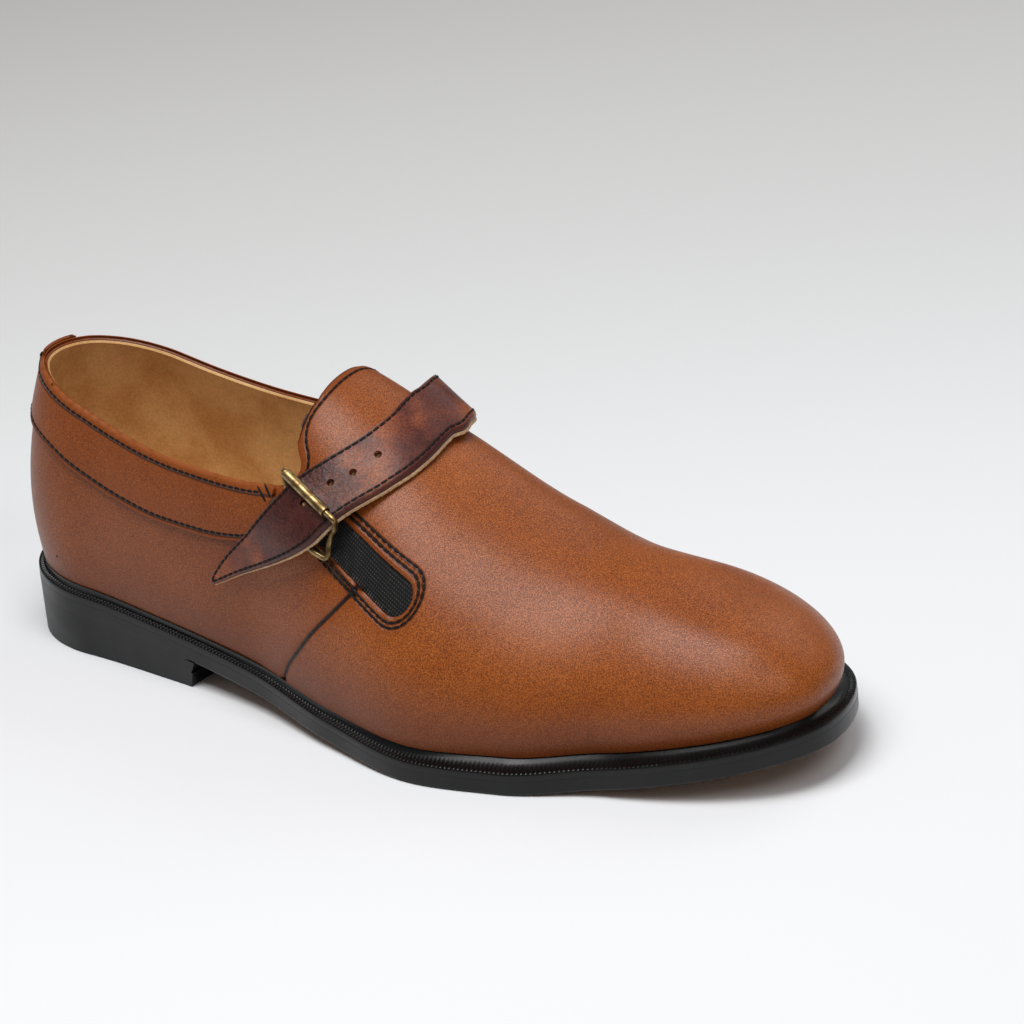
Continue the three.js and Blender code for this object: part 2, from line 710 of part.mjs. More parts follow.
// Chape: a band from the quarter that folds round the centre bar, slotted for the prong
function chapeSolid() {
  const { along, out } = CENTRE_BAR;
  const bore = WIRE_RADIUS + GAP;
  const band = toManifold(bandGeometry(CHAPE, ['lift', 'lift'], CHAPE_THICKNESS, 8, 3));
  const { outer } = PRONG_EYE;
  return band
    .add(crossRod(along, out, CHAPE_WIDTH, bore + CHAPE_THICKNESS - 0.1, 16, BUCKLE.shift))
    .subtract(crossRod(along, out, 2 * CHAPE_WIDTH, bore))
    .subtract(crossRod(along, out, CHAPE_SLOT, outer + 2 * GAP, 12, PRONG[0].across));
}

// Prong: an eye on the centre bar and a pin through the strap
function prongSolid() {
  const { along, out } = CENTRE_BAR;
  const { inner, outer, width } = PRONG_EYE;
  const line = PRONG.map((row) => bucklePoint(row.along, row.across, row.out));
  return crossRod(along, out, width, outer, 12, PRONG[0].across)
    .add(toManifold(rod(line, PRONG_RADIUS, false, 8, 4)))
    .subtract(crossRod(along, out, 2 * width, inner, 12, PRONG[0].across));
}

const materials = {
  upper: { color: 0x96552d, roughness: 0.42, metalness: 0 },
  strap: { color: 0x6e3c32, roughness: 0.4, metalness: 0 },
  elastic: { color: 0x141415, roughness: 0.9, metalness: 0 },
  welt: { color: 0x111112, roughness: 0.35, metalness: 0 },
  outsole: { color: 0x1b1613, roughness: 0.5, metalness: 0 },
  heel: { color: 0x131314, roughness: 0.4, metalness: 0 },
  lining: { color: 0xbe8c50, roughness: 0.85, metalness: 0 },
  brass: { color: 0x9a7a3c, roughness: 0.35, metalness: 1 },
};

const heelStack = heelSolid(() => TOP_PIECE_THICKNESS + GAP, (x) => undersideZ(x) - GAP);
const heelTopPiece = heelSolid(() => 0, () => TOP_PIECE_THICKNESS);
const pieces = [
  ['outsole', outsoleGeometry(), 'outsole'],
  ['welt', weltGeometry(), 'welt'],
  ['heel_stack', toGeometry(heelStack), 'heel'],
  ['heel_top_piece', toGeometry(heelTopPiece), 'heel'],
  ['insole', insoleGeometry(), 'lining'],
  ['upper', toGeometry(upperSolid()), 'upper'],
  ['gore_lateral', toGeometry(goreSolid(LATERAL)), 'elastic'],
  ['gore_medial', toGeometry(goreSolid(MEDIAL)), 'elastic'],
  ['collar_band', toGeometry(collarBandSolid()), 'upper'],
  ['heel_strip', toGeometry(heelStripSolid()), 'upper'],
  ['strap', toGeometry(strapSolid()), 'strap'],
  ['chape', toGeometry(chapeSolid()), 'strap'],
  ['buckle_frame', toGeometry(buckleFrameSolid()), 'brass'],
  ['buckle_roller', toGeometry(rollerSolid()), 'brass'],
  ['buckle_prong', toGeometry(prongSolid()), 'brass'],
];

const shoe = new THREE.Group();
for (const [name, geometry, finish] of pieces) {
  const mesh = new THREE.Mesh(geometry, new THREE.MeshStandardMaterial(materials[finish]));
  mesh.name = name;
  shoe.add(mesh);
}
const box = new THREE.Box3().setFromObject(shoe);
const middle = box.getCenter(new THREE.Vector3());
shoe.position.set(-middle.x, -middle.y, -box.min.z);

export default shoe;
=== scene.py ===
"""Right monk strap loafer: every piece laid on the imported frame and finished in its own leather.

Lengths are in millimetres and stations run from 0 at the back of the heel to the tip of the toe.
A point of the upper is named by its share of the length and its girth, which is -1 at the lateral
feather line, 0 on the ridge of the last and 1 at the medial feather line.
"""
from __future__ import annotations

import logging
import math
from dataclasses import dataclass, field
from enum import Enum
from typing import Any, Callable, NamedTuple, Sequence

import bmesh
import bpy
import numpy as np
from mathutils import Matrix, Vector

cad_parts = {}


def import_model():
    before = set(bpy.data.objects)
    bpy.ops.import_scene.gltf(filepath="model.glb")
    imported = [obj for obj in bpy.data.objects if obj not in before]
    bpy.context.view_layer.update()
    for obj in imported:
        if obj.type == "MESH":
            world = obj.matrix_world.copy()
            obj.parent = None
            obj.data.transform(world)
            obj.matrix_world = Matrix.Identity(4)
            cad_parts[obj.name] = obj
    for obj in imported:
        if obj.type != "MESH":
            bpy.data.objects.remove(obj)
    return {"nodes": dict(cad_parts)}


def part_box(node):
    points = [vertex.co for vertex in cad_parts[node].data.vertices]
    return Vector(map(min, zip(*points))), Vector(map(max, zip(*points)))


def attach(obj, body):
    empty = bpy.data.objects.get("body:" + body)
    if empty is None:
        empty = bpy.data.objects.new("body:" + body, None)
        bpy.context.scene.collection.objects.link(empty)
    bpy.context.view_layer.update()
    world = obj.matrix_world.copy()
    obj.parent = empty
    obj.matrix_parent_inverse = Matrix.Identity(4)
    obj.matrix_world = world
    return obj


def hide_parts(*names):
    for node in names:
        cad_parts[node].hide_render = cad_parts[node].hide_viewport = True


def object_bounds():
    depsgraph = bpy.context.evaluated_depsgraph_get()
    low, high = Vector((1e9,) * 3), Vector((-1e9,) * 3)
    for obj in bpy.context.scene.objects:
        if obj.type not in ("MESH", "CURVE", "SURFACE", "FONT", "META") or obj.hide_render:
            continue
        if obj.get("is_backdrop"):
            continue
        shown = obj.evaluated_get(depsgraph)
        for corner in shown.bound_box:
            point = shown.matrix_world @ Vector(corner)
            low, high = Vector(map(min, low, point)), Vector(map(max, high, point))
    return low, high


LOG = logging.getLogger("loafer")
MM = 0.001
Array = np.ndarray
Place = Callable[[Array, Array, Array], Array]
Field = Callable[[Array], Array]
GridField = Callable[[Array, Array], Array]
Ends = tuple[tuple[float, float], tuple[float, float]]


class Side(Enum):
    """The two sides of the shoe, with the sign of y on each."""

    LATERAL = -1
    MEDIAL = 1


def table(kind: Callable[..., Any], *rows: Sequence[Any]) -> tuple[Any, ...]:
    """Rows of one kind, made of their values."""
    return tuple(kind(*row) for row in rows)


def unit(vectors: Array) -> Array:
    """Vectors of length 1 in the same directions."""
    return vectors / np.linalg.norm(vectors, axis=-1, keepdims=True)


def run_along(line: Array) -> Array:
    """Distance of each point along a line from its start."""
    return np.concatenate([[0], np.cumsum(np.linalg.norm(np.diff(line, axis=0), axis=1))])


class Curve:
    """Smooth curve through the rows of a table, without overshoot between them."""

    def __init__(self, rows: Sequence[NamedTuple], column: str, key: str = "x") -> None:
        """Read two columns of a table whose rows rise by its key."""
        self.keys = np.array([getattr(row, key) for row in rows], float)
        self.values = np.array([getattr(row, column) for row in rows], float)
        step = np.diff(self.keys)
        slope = np.diff(self.values) / step
        before, after = slope[:-1], slope[1:]
        weight_before = 2 * step[1:] + step[:-1]
        weight_after = step[1:] + 2 * step[:-1]
        rising = before * after > 0
        safe_before = np.where(rising, before, 1)
        safe_after = np.where(rising, after, 1)
        mean = (weight_before + weight_after) / (weight_before / safe_before + weight_after / safe_after)
        inner = np.where(rising, mean, 0)
        self.tangents = np.concatenate([slope[:1], inner, slope[-1:]])

    def __call__(self, key: Array | float) -> Array:
        """Value of the curve at one key or an array of them."""
        at = np.clip(key, self.keys[0], self.keys[-1])
        i = np.clip(np.searchsorted(self.keys, at, side="right") - 1, 0, len(self.keys) - 2)
        step = self.keys[i + 1] - self.keys[i]
        t = (at - self.keys[i]) / step
        rise = self.values[i + 1] - self.values[i]
        bend = (self.tangents[i] * step - rise) * (1 - t) - (self.tangents[i + 1] * step - rise) * t
        return self.values[i] + rise * t + t * (1 - t) * bend


class EdgeRow(NamedTuple):
    """Half widths of the sole's outline at a station."""

    x: float
    lateral: float
    medial: float


class HeightRow(NamedTuple):
    """A height at a station."""

    x: float
    z: float


class RidgeRow(NamedTuple):
    """A point of the last's ridge."""

    x: float
    y: float
    z: float


class RibRow(NamedTuple):
    """Shape of the last's ribs at a station."""

    x: float
    fullness: float
    bulge: float
    inset: float


class FanRow(NamedTuple):
    """Station on the ridge where the rib from a station of the feather line ends."""

    x: float
    ridge: float


OUTLINE = table(
    EdgeRow,
    (0, 34, 33), (35, 32.8, 32.2), (72, 35.4, 32.8), (110, 40.3, 34), (150, 51.5, 37.5), (185, 58.5, 45),
    (215, 53, 50), (245, 44, 51.5), (300, 43, 46),
)
UNDERSIDE = table(
    HeightRow,
    (0, 15.4), (40, 13), (72, 10.2), (110, 6.3), (150, 2.2), (190, 0), (216, 0), (240, 2), (270, 6.8),
    (300, 12.4),
)
RIDGE = table(
    RidgeRow,
    (25, 0, 112.6), (60, 0, 111.5), (95, 1, 110.5), (130, 2.5, 100.8), (160, 3.5, 86), (190, 3.5, 69.5),
    (220, 3, 57.5), (245, 3, 53), (268, 1.5, 47.5),
)
RIBS = table(
    RibRow,
    (0, 2.0, 3.4, 2.5), (75, 2.3, 3.5, 1.9), (150, 2.2, 1.6, 3.0), (225, 2.1, 3.0, 6.3), (300, 2.8, 4.0, 5.5),
)
FAN = table(
    FanRow,
    (0, 25), (75, 85.8), (150, 146.5), (212, 198), (256, 242), (280, 261), (294, 267.2), (300, 268),
)

# Profiles seen from the side: topline, edge of the tongue, foot of the collar band, and the seam
# between vamp and quarter, which ends in the window of the gore
TOPLINE = table(
    HeightRow,
    (-20, 91.5), (8, 90.6), (20, 88.8), (37, 84.6), (56, 79.7), (75, 76.4), (93, 75), (112, 74.6), (126, 76),
)
TONGUE_EDGE = table(
    HeightRow,
    (131, 79), (132, 82.5), (129.2, 86.3), (127.2, 91), (127.2, 95.5), (128.2, 99), (128, 103), (126, 125),
)
BAND_FOOT = table(
    HeightRow,
    (-20, 74), (4, 73), (25, 69), (41, 63), (60, 58), (78, 55.4), (96, 55), (112, 56.5), (121, 60),
    (124.5, 68),
)
VAMP_SEAM = table(
    HeightRow,
    (120, -10), (123.5, 8), (126, 14.3), (130, 20.9), (136, 27.5), (143.8, 36), (151.5, 43.4), (157, 48.8),
    (161, 53), (163, 57), (155, 66), (138, 74), (128, 78),
)


def smooth_path(knots: Array, closed: bool, steps: int, fineness: int = 12) -> Array:
    """Evenly spaced points of a smooth path through its knots.

    Args:
        knots: points that it passes.
        closed: whether it runs back to the first.
        steps: number of stretches between the points.
        fineness: points between two knots from which the spacing is worked out.

    Returns:
        The points, without a second one at the start of a closed path.
    """
    if closed:
        padded = np.vstack([knots[-1:], knots, knots[:2]])
    else:
        padded = np.vstack([2 * knots[0] - knots[1], knots, 2 * knots[-1] - knots[-2]])
    t = np.linspace(0, 1, fineness, endpoint=False)[:, None]
    spans = zip(padded, padded[1:], padded[2:], padded[3:])
    pieces = [0.5 * (2 * b + (c - a) * t
                     + (2 * a - 5 * b + 4 * c - d) * t**2 + (3 * b - a - 3 * c + d) * t**3)
              for a, b, c, d in spans]
    line = resample(np.vstack([*pieces, padded[-2:-1]]), steps)
    return line[:-1] if closed else line


def profile(rows: Sequence[HeightRow], steps: int) -> Array:
    """Evenly spaced points (x, z) of a smooth line through the rows of a side profile."""
    return smooth_path(np.array(rows, float), False, steps, 24)


def resample(points: Array, steps: int) -> Array:
    """Evenly spaced points along a polyline."""
    reach = run_along(points)
    at = np.linspace(0, reach[-1], steps + 1)
    return np.stack([np.interp(at, reach, column) for column in points.T], axis=1)


def outline_distance(points: Array, outline: Array) -> Array:
    """Distance of points (x, z) to a closed outline of corners in order, negative inside it."""
    best = np.full(len(points), np.inf)
    inside = np.zeros(len(points), bool)
    for a, b in zip(outline, np.roll(outline, -1, axis=0)):
        edge = b - a
        rel = points - a
        t = np.clip(rel @ edge / max(edge @ edge, 1e-12), 0, 1)
        best = np.minimum(best, np.linalg.norm(rel - t[:, None] * edge, axis=1))
        spans = (a[1] > points[:, 1]) != (b[1] > points[:, 1])
        if a[1] != b[1]:
            inside ^= spans & (points[:, 0] < a[0] + (points[:, 1] - a[1]) * edge[0] / edge[1])
    return np.where(inside, -best, best)


@dataclass(frozen=True)
class Last:
    """The form that the shoe is made on."""

    length: float = 300.0
    outsole_thickness: float = 4.4
    gap: float = 0.3
    welt_thickness: float = 2.7
    welt_rise: float = 2.5
    heel_rounding: float = 37.0
    lateral_toe_rounding: float = 88.0
    medial_toe_rounding: float = 50.0
    toe_swing: float = 1.5
    swing_start: float = 40.0
    bulge_top: float = 0.8
    lean_power: float = 2.0
    half_lateral: Curve = field(default_factory=lambda: Curve(OUTLINE, "lateral"))
    half_medial: Curve = field(default_factory=lambda: Curve(OUTLINE, "medial"))
    underside: Curve = field(default_factory=lambda: Curve(UNDERSIDE, "z"))
    ridge_y: Curve = field(default_factory=lambda: Curve(RIDGE, "y"))
    ridge_z: Curve = field(default_factory=lambda: Curve(RIDGE, "z"))
    fan: Curve = field(default_factory=lambda: Curve(FAN, "ridge"))
    fullness: Curve = field(default_factory=lambda: Curve(RIBS, "fullness"))
    bulge: Curve = field(default_factory=lambda: Curve(RIBS, "bulge"))
    inset: Curve = field(default_factory=lambda: Curve(RIBS, "inset"))

    def station(self, share: Array | float) -> Array:
        """Station of a share of the length."""
        return self.length * (1 - np.cos(np.pi * np.asarray(share, float))) / 2

    def share(self, station: Array | float) -> Array:
        """Share of the length of a station."""
        return np.arccos(np.clip(1 - 2 * np.asarray(station, float) / self.length, -1, 1)) / np.pi

    def _outline(self, share: Array, side: Array) -> Array:
        x = self.station(np.clip(share, 0, 1))
        toe = np.where(side < 0, self.lateral_toe_rounding, self.medial_toe_rounding)
        heel_end = np.clip(1 - x / self.heel_rounding, 0, 1)
        toe_end = np.clip(1 - (self.length - x) / toe, 0, 1)
        ends = np.sqrt(np.maximum(1 - heel_end**2, 0)) * np.sqrt(np.maximum(1 - toe_end**2, 0))
        forward = np.clip((x - self.swing_start) / (self.length - self.swing_start), 0, 1)
        half = np.where(side < 0, self.half_lateral(x), self.half_medial(x))
        return np.stack([x, self.toe_swing * forward**2 + side * half * ends], axis=-1)

    def rim(self, share: Array, side: Array, margin: Array | float = 0.0) -> Array:
        """Points (x, y) a margin inside the sole's edge, for side -1 or 1, seen from above."""
        small = 0.002
        along = unit(self._outline(share + small, side) - self._outline(share - small, side))
        inwards = np.stack([along[..., 1], -along[..., 0]], axis=-1) * side[..., None]
        inwards = np.where((share < small)[..., None], np.array([1.0, 0.0]), inwards)
        inwards = np.where((share > 1 - small)[..., None], np.array([-1.0, 0.0]), inwards)
        return self._outline(share, side) + inwards * np.broadcast_to(margin, share.shape)[..., None]

    def feather(self, x: Array) -> Array:
        """Height of the feather line, where the upper meets the welt."""
        return self.underside(x) + self.outsole_thickness + self.gap + self.welt_thickness + self.welt_rise

    def surface(self, share: Array, girth: Array, offset: Array | float = 0.0) -> Array:
        """Points (x, y, z) of the last at shares of its length and girths, offset outwards."""
        share, girth, offset = np.broadcast_arrays(*(np.asarray(a, float) for a in (share, girth, offset)))
        side = np.where(girth < 0, -1.0, 1.0)
        station = self.station(share)
        foot = self.rim(share, side, self.inset(station) - offset)
        foot_z = self.feather(foot[..., 0])
        ridge_x = self.fan(station)
        ridge = np.stack([ridge_x, self.ridge_y(ridge_x)], axis=-1)
        top_z = self.ridge_z(ridge_x) + offset
        slope = self.ridge_z(ridge_x) - self.ridge_z(ridge_x - 1)
        turn = (1 - np.abs(girth)) * np.pi / 2
        power = 2 / self.fullness(station)
        inwards = 1 - np.maximum(np.cos(turn), 0) ** power
        upwards = np.sin(turn) ** power
        across = ridge - foot
        reach = np.linalg.norm(across, axis=-1)
        swell = np.sin(np.pi * np.clip(upwards / self.bulge_top, 0, 1)) * (1 - upwards)
        travel = reach * inwards - self.bulge(station) * swell
        at = foot + across * (travel / reach)[..., None]
        lean = slope * (at[..., 0] - ridge_x) * upwards**self.lean_power
        z = foot_z + upwards * (top_z - foot_z) + lean
        return np.concatenate([at, z[..., None]], axis=-1)

    def normal(self, share: Array, girth: Array) -> Array:
        """Outward directions of the last."""
        step = 0.004
        ahead = self.surface(share + step, girth) - self.surface(share - step, girth)
        round_it = self.surface(share, girth + step) - self.surface(share, girth - step)
        return unit(np.cross(ahead, round_it))

    def find(self, x: Array, z: Array, side: Side) -> tuple[Array, Array]:
        """Share and girth of the points of one side that show at stations x and heights z."""
        s0, r0 = np.meshgrid(np.linspace(0.01, 0.99, 120), np.linspace(0, 0.92, 60), indexing="ij")
        known = self.surface(s0, side.value * (1 - r0)).reshape(-1, 3)
        gap = (known[:, 0] - x[:, None]) ** 2 + (known[:, 2] - z[:, None]) ** 2
        start = gap.argmin(axis=1)
        share, rise = s0.ravel()[start], r0.ravel()[start]
        small = 1e-4
        for _ in range(8):
            here = self.surface(share, side.value * (1 - rise))
            by_share = (self.surface(share + small, side.value * (1 - rise)) - here) / small
            by_rise = (self.surface(share, side.value * (1 - rise - small)) - here) / small
            dx, dz = x - here[:, 0], z - here[:, 2]
            det = by_share[:, 0] * by_rise[:, 2] - by_rise[:, 0] * by_share[:, 2]
            share = np.clip(share + (dx * by_rise[:, 2] - by_rise[:, 0] * dz) / det, 0.001, 0.999)
            rise = np.clip(rise + (by_share[:, 0] * dz - by_share[:, 2] * dx) / det, 0, 0.99)
        return share, side.value * (1 - rise)


LAST = Last()


class Frame:
    """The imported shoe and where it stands, so that stations become places in metres."""

    def __init__(self) -> None:
        """Load the frame and read the outsole's box."""
        self.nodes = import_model()["nodes"]
        self.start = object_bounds()
        low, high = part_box("outsole")
        edge = LAST.rim(np.linspace(0, 1, 2001), np.ones(2001))
        self.shift = np.array([low[0] / MM, high[1] / MM - edge[:, 1].max(), 0.0])

    def metres(self, points: Array) -> Array:
        """Places in the frame of points given in millimetres from the heel."""
        return (np.asarray(points) + self.shift) * MM


class Profiles:
    """Outlines of the upper's cuts, seen from the side."""

    gore_width: float = 10.0
    gore_top: tuple[float, float] = (137.2, 72.0)
    gore_foot: tuple[float, float] = (176.0, 53.2)

    def __init__(self) -> None:
        """Work the outlines out from their tables."""
        self.topline = profile(TOPLINE, 60)
        self.tongue = profile(TONGUE_EDGE, 30)
        self.opening = np.vstack([self.topline, self.tongue, [(126, 150), (-20, 150)]])
        seam = profile(VAMP_SEAM[:9], 50)
        rest = np.array([(row.x, row.z) for row in VAMP_SEAM[9:]])
        self.vamp = np.vstack([seam, rest, [(128, 200), (400, 200), (400, -10)]])
        self.band_foot = Curve(BAND_FOOT, "z")

    def gore(self, margin: float) -> Array:
        """Outline of a gore's window, grown by a margin."""
        top, foot = np.array(self.gore_top), np.array(self.gore_foot)
        heading = math.atan2(*(foot - top)[::-1])
        radius = self.gore_width / 2 + margin
        turns = np.linspace(0, np.pi, 17)
        ends = []
        for centre, start in ((foot, heading - np.pi / 2), (top, heading + np.pi / 2)):
            ends.append(centre + radius * np.stack([np.cos(start + turns), np.sin(start + turns)], axis=1))
        return np.vstack(ends)

    def gore_run(self, points: Array) -> Array:
        """Distance along the edge of the gore's window, from its top."""
        line = resample(np.roll(self.gore(2.4), -25, axis=0), 300)
        run = run_along(line)
        flat = points[:, [0, 2]]
        chunks = [((part[:, None] - line[None]) ** 2).sum(axis=2).argmin(axis=1)
                  for part in np.array_split(flat, len(flat) // 4000 + 1)]
        return run[np.concatenate(chunks)]

    def opening_margin(self, points: Array) -> Array:
        """Distance below topline and tongue edge."""
        return outline_distance(points[:, [0, 2]], self.opening)

    def gore_margin(self, points: Array) -> Array:
        """Distance outside the gore's window."""
        return outline_distance(points[:, [0, 2]], self.gore(0))

    def vamp_margin(self, points: Array) -> Array:
        """Distance in front of the seam between vamp and quarter."""
        return -outline_distance(points[:, [0, 2]], self.vamp)

    def band_margin(self, points: Array) -> Array:
        """Height above the foot of the collar band."""
        return points[:, 2] - self.band_foot(points[:, 0])


PROFILES = Profiles()
FRAME = Frame()


def least(*fields: Field) -> Field:
    """The smallest of several distances."""
    return lambda points: np.minimum.reduce([distance(points) for distance in fields])


def less(distance: Field, amount: float) -> Field:
    """A distance from a line that lies further in."""
    return lambda points: distance(points) - amount


def across_seam(points: Array) -> Array:
    """Distance behind the seam between vamp and quarter."""
    return -PROFILES.vamp_margin(points)


class Sheet:
    """A sheet of leather: a grid that is cut to its outline, laid on its form and made thick."""

    def __init__(self, columns: int, rows: int) -> None:
        """Start from a flat grid of cells over the unit square."""
        self.mesh = bmesh.new()
        bmesh.ops.create_grid(self.mesh, x_segments=columns, y_segments=rows, size=0.5)
        bmesh.ops.translate(self.mesh, vec=(0.5, 0.5, 0), verts=self.mesh.verts)

    def _places(self) -> tuple[Array, Array]:
        flat = np.array([vert.co[:2] for vert in self.mesh.verts])
        return flat[:, 0], flat[:, 1]

    def cut(self, keep: Callable[[Array, Array], Array]) -> "Sheet":
        """Cut the grid along the line where a function of u and v turns negative."""
        self.mesh.verts.index_update()
        u, v = self._places()
        value = keep(u, v)
        ends = np.array([[vert.index for vert in edge.verts] for edge in self.mesh.edges])
        crossing = ends[value[ends[:, 0]] * value[ends[:, 1]] < 0]
        a, b = crossing[:, 0], crossing[:, 1]
        low, high = np.zeros(len(a)), np.ones(len(a))
        starts_inside = value[a] > 0
        for _ in range(14):
            mid = (low + high) / 2
            inside = keep(u[a] + (u[b] - u[a]) * mid, v[a] + (v[b] - v[a]) * mid) > 0
            same = inside == starts_inside
            low, high = np.where(same, mid, low), np.where(same, high, mid)
        t = (low + high) / 2
        nearer = np.where(t < 0.5, a, b)
        distance = np.minimum(t, 1 - t)
        order = np.argsort(-distance)
        moved = {}
        for k in order:
            i, j = a[k], b[k]
            moved[int(nearer[k])] = (u[i] + (u[j] - u[i]) * t[k], v[i] + (v[j] - v[i]) * t[k])
        self.mesh.verts.ensure_lookup_table()
        snapped = []
        for index, place in moved.items():
            vert = self.mesh.verts[index]
            vert.co = (*place, 0)
            value[index] = 0
            snapped.append(vert)
        bmesh.ops.connect_verts(self.mesh, verts=snapped)
        outside = [face for face in self.mesh.faces if any(value[vert.index] < 0 for vert in face.verts)]
        bmesh.ops.delete(self.mesh, geom=outside, context="FACES")
        return self

    def shell(self, place: Place, inner: float, outer: float, marks: dict[str, Field] | None = None,
              edge_roll: Field | None = None, grid_marks: dict[str, GridField] | None = None,
              is_ring: bool = False) -> bmesh.types.BMesh:
        """Lay the sheet on its form between two depths.

        Args:
            place: gives points for u, v and a depth.
            inner: depth of the inner face.
            outer: depth of the outer face.
            marks: numbers kept on each vertex for the finish, as functions of its point.
            edge_roll: distance by which the outer face drops at each point.
            grid_marks: further numbers, as functions of u and v.
            is_ring: whether u = 0 and u = 1 are the same place.

        Returns:
            The closed shell, in metres in the frame.
        """
        for name in [*(marks or {}), *(grid_marks or {})]:
            self.mesh.verts.layers.float.new(name)
        bmesh.ops.remove_doubles(self.mesh, verts=self.mesh.verts, dist=1e-7)
        base = list(self.mesh.faces)
        grown = bmesh.ops.extrude_face_region(self.mesh, geom=base, use_keep_orig=True)["geom"]
        fresh = {item for item in grown if isinstance(item, bmesh.types.BMVert)}
        bmesh.ops.reverse_faces(self.mesh, faces=base)
        if is_ring:
            ends = [face for face in self.mesh.faces
                    if max(vert.co.x for vert in face.verts) - min(vert.co.x for vert in face.verts) < 1e-6
                    and not 1e-4 < face.verts[0].co.x < 1 - 1e-4]
            bmesh.ops.delete(self.mesh, geom=ends, context="FACES_ONLY")
        verts = list(self.mesh.verts)
        u, v = self._places()
        is_outer = np.array([vert in fresh for vert in verts])
        depth = np.where(is_outer, outer, inner)
        if edge_roll is not None:
            depth = depth - np.where(is_outer, edge_roll(place(u, v, depth)), 0)
        points = place(u, v, depth)
        numbers = {name: mark(points) for name, mark in (marks or {}).items()}
        numbers.update({name: mark(u, v) for name, mark in (grid_marks or {}).items()})
        for name, values in numbers.items():
            layer = self.mesh.verts.layers.float[name]
            for vert, number in zip(verts, values):
                vert[layer] = number
        for vert, point in zip(verts, FRAME.metres(points)):
            vert.co = point
        bmesh.ops.remove_doubles(self.mesh, verts=self.mesh.verts, dist=2e-6)
        bmesh.ops.dissolve_degenerate(self.mesh, edges=self.mesh.edges, dist=1e-6)
        if self.mesh.calc_volume(signed=True) < 0:
            bmesh.ops.reverse_faces(self.mesh, faces=self.mesh.faces)
        return self.mesh


class Signal:
    """A number, colour or vector in a shader, with arithmetic on numbers."""

    def __init__(self, graph: "Graph", socket: bpy.types.NodeSocket) -> None:
        """Wrap an output socket."""
        self.graph = graph
        self.socket = socket

    def _math(self, operation: str, *values: "Signal | float") -> "Signal":
        return self.graph.node("ShaderNodeMath", {"operation": operation}, dict(enumerate(values)))

    def __add__(self, other: "Signal | float") -> "Signal":
        """Sum."""
        return self._math("ADD", self, other)

    def __sub__(self, other: "Signal | float") -> "Signal":
        """Difference."""
        return self._math("SUBTRACT", self, other)

    def __rsub__(self, other: float) -> "Signal":
        """Difference, reflected."""
        return self._math("SUBTRACT", other, self)

    def __mul__(self, other: "Signal | float") -> "Signal":
        """Product."""
        return self._math("MULTIPLY", self, other)

    def __abs__(self) -> "Signal":
        """Size without sign."""
        return self._math("ABSOLUTE", self)

    def sine(self) -> "Signal":
        """Sine of an angle in radians."""
        return self._math("SINE", self)

    def larger(self, other: "Signal | float") -> "Signal":
        """The larger of two numbers."""
        return self._math("MAXIMUM", self, other)

    def ramp(self, low: float, high: float, to_low: float = 0.0, to_high: float = 1.0) -> "Signal":
        """Smooth step from one number to another.

        Args:
            low: input where the step starts.
            high: input where it ends.
            to_low: output before the step.
            to_high: output after it.

        Returns:
            The stepped number.
        """
        settings = {"interpolation_type": "SMOOTHSTEP"}
        values = {0: self, 1: low, 2: high, 3: to_low, 4: to_high}
        return self.graph.node("ShaderNodeMapRange", settings, values)

    def near(self, centre: float, width: float) -> "Signal":
        """A bump of height 1 round a number, gone at the given width."""
        return (abs(self - centre)).ramp(0.0, width, 1.0, 0.0)


Colour = tuple[float, float, float, float]


def srgb(red: int, green: int, blue: int) -> Colour:
    """Linear colour of a screen colour from 0 to 255."""
    def linear(value: int) -> float:
        share = value / 255
        return share / 12.92 if share <= 0.04045 else ((share + 0.055) / 1.055) ** 2.4
    return (linear(red), linear(green), linear(blue), 1.0)


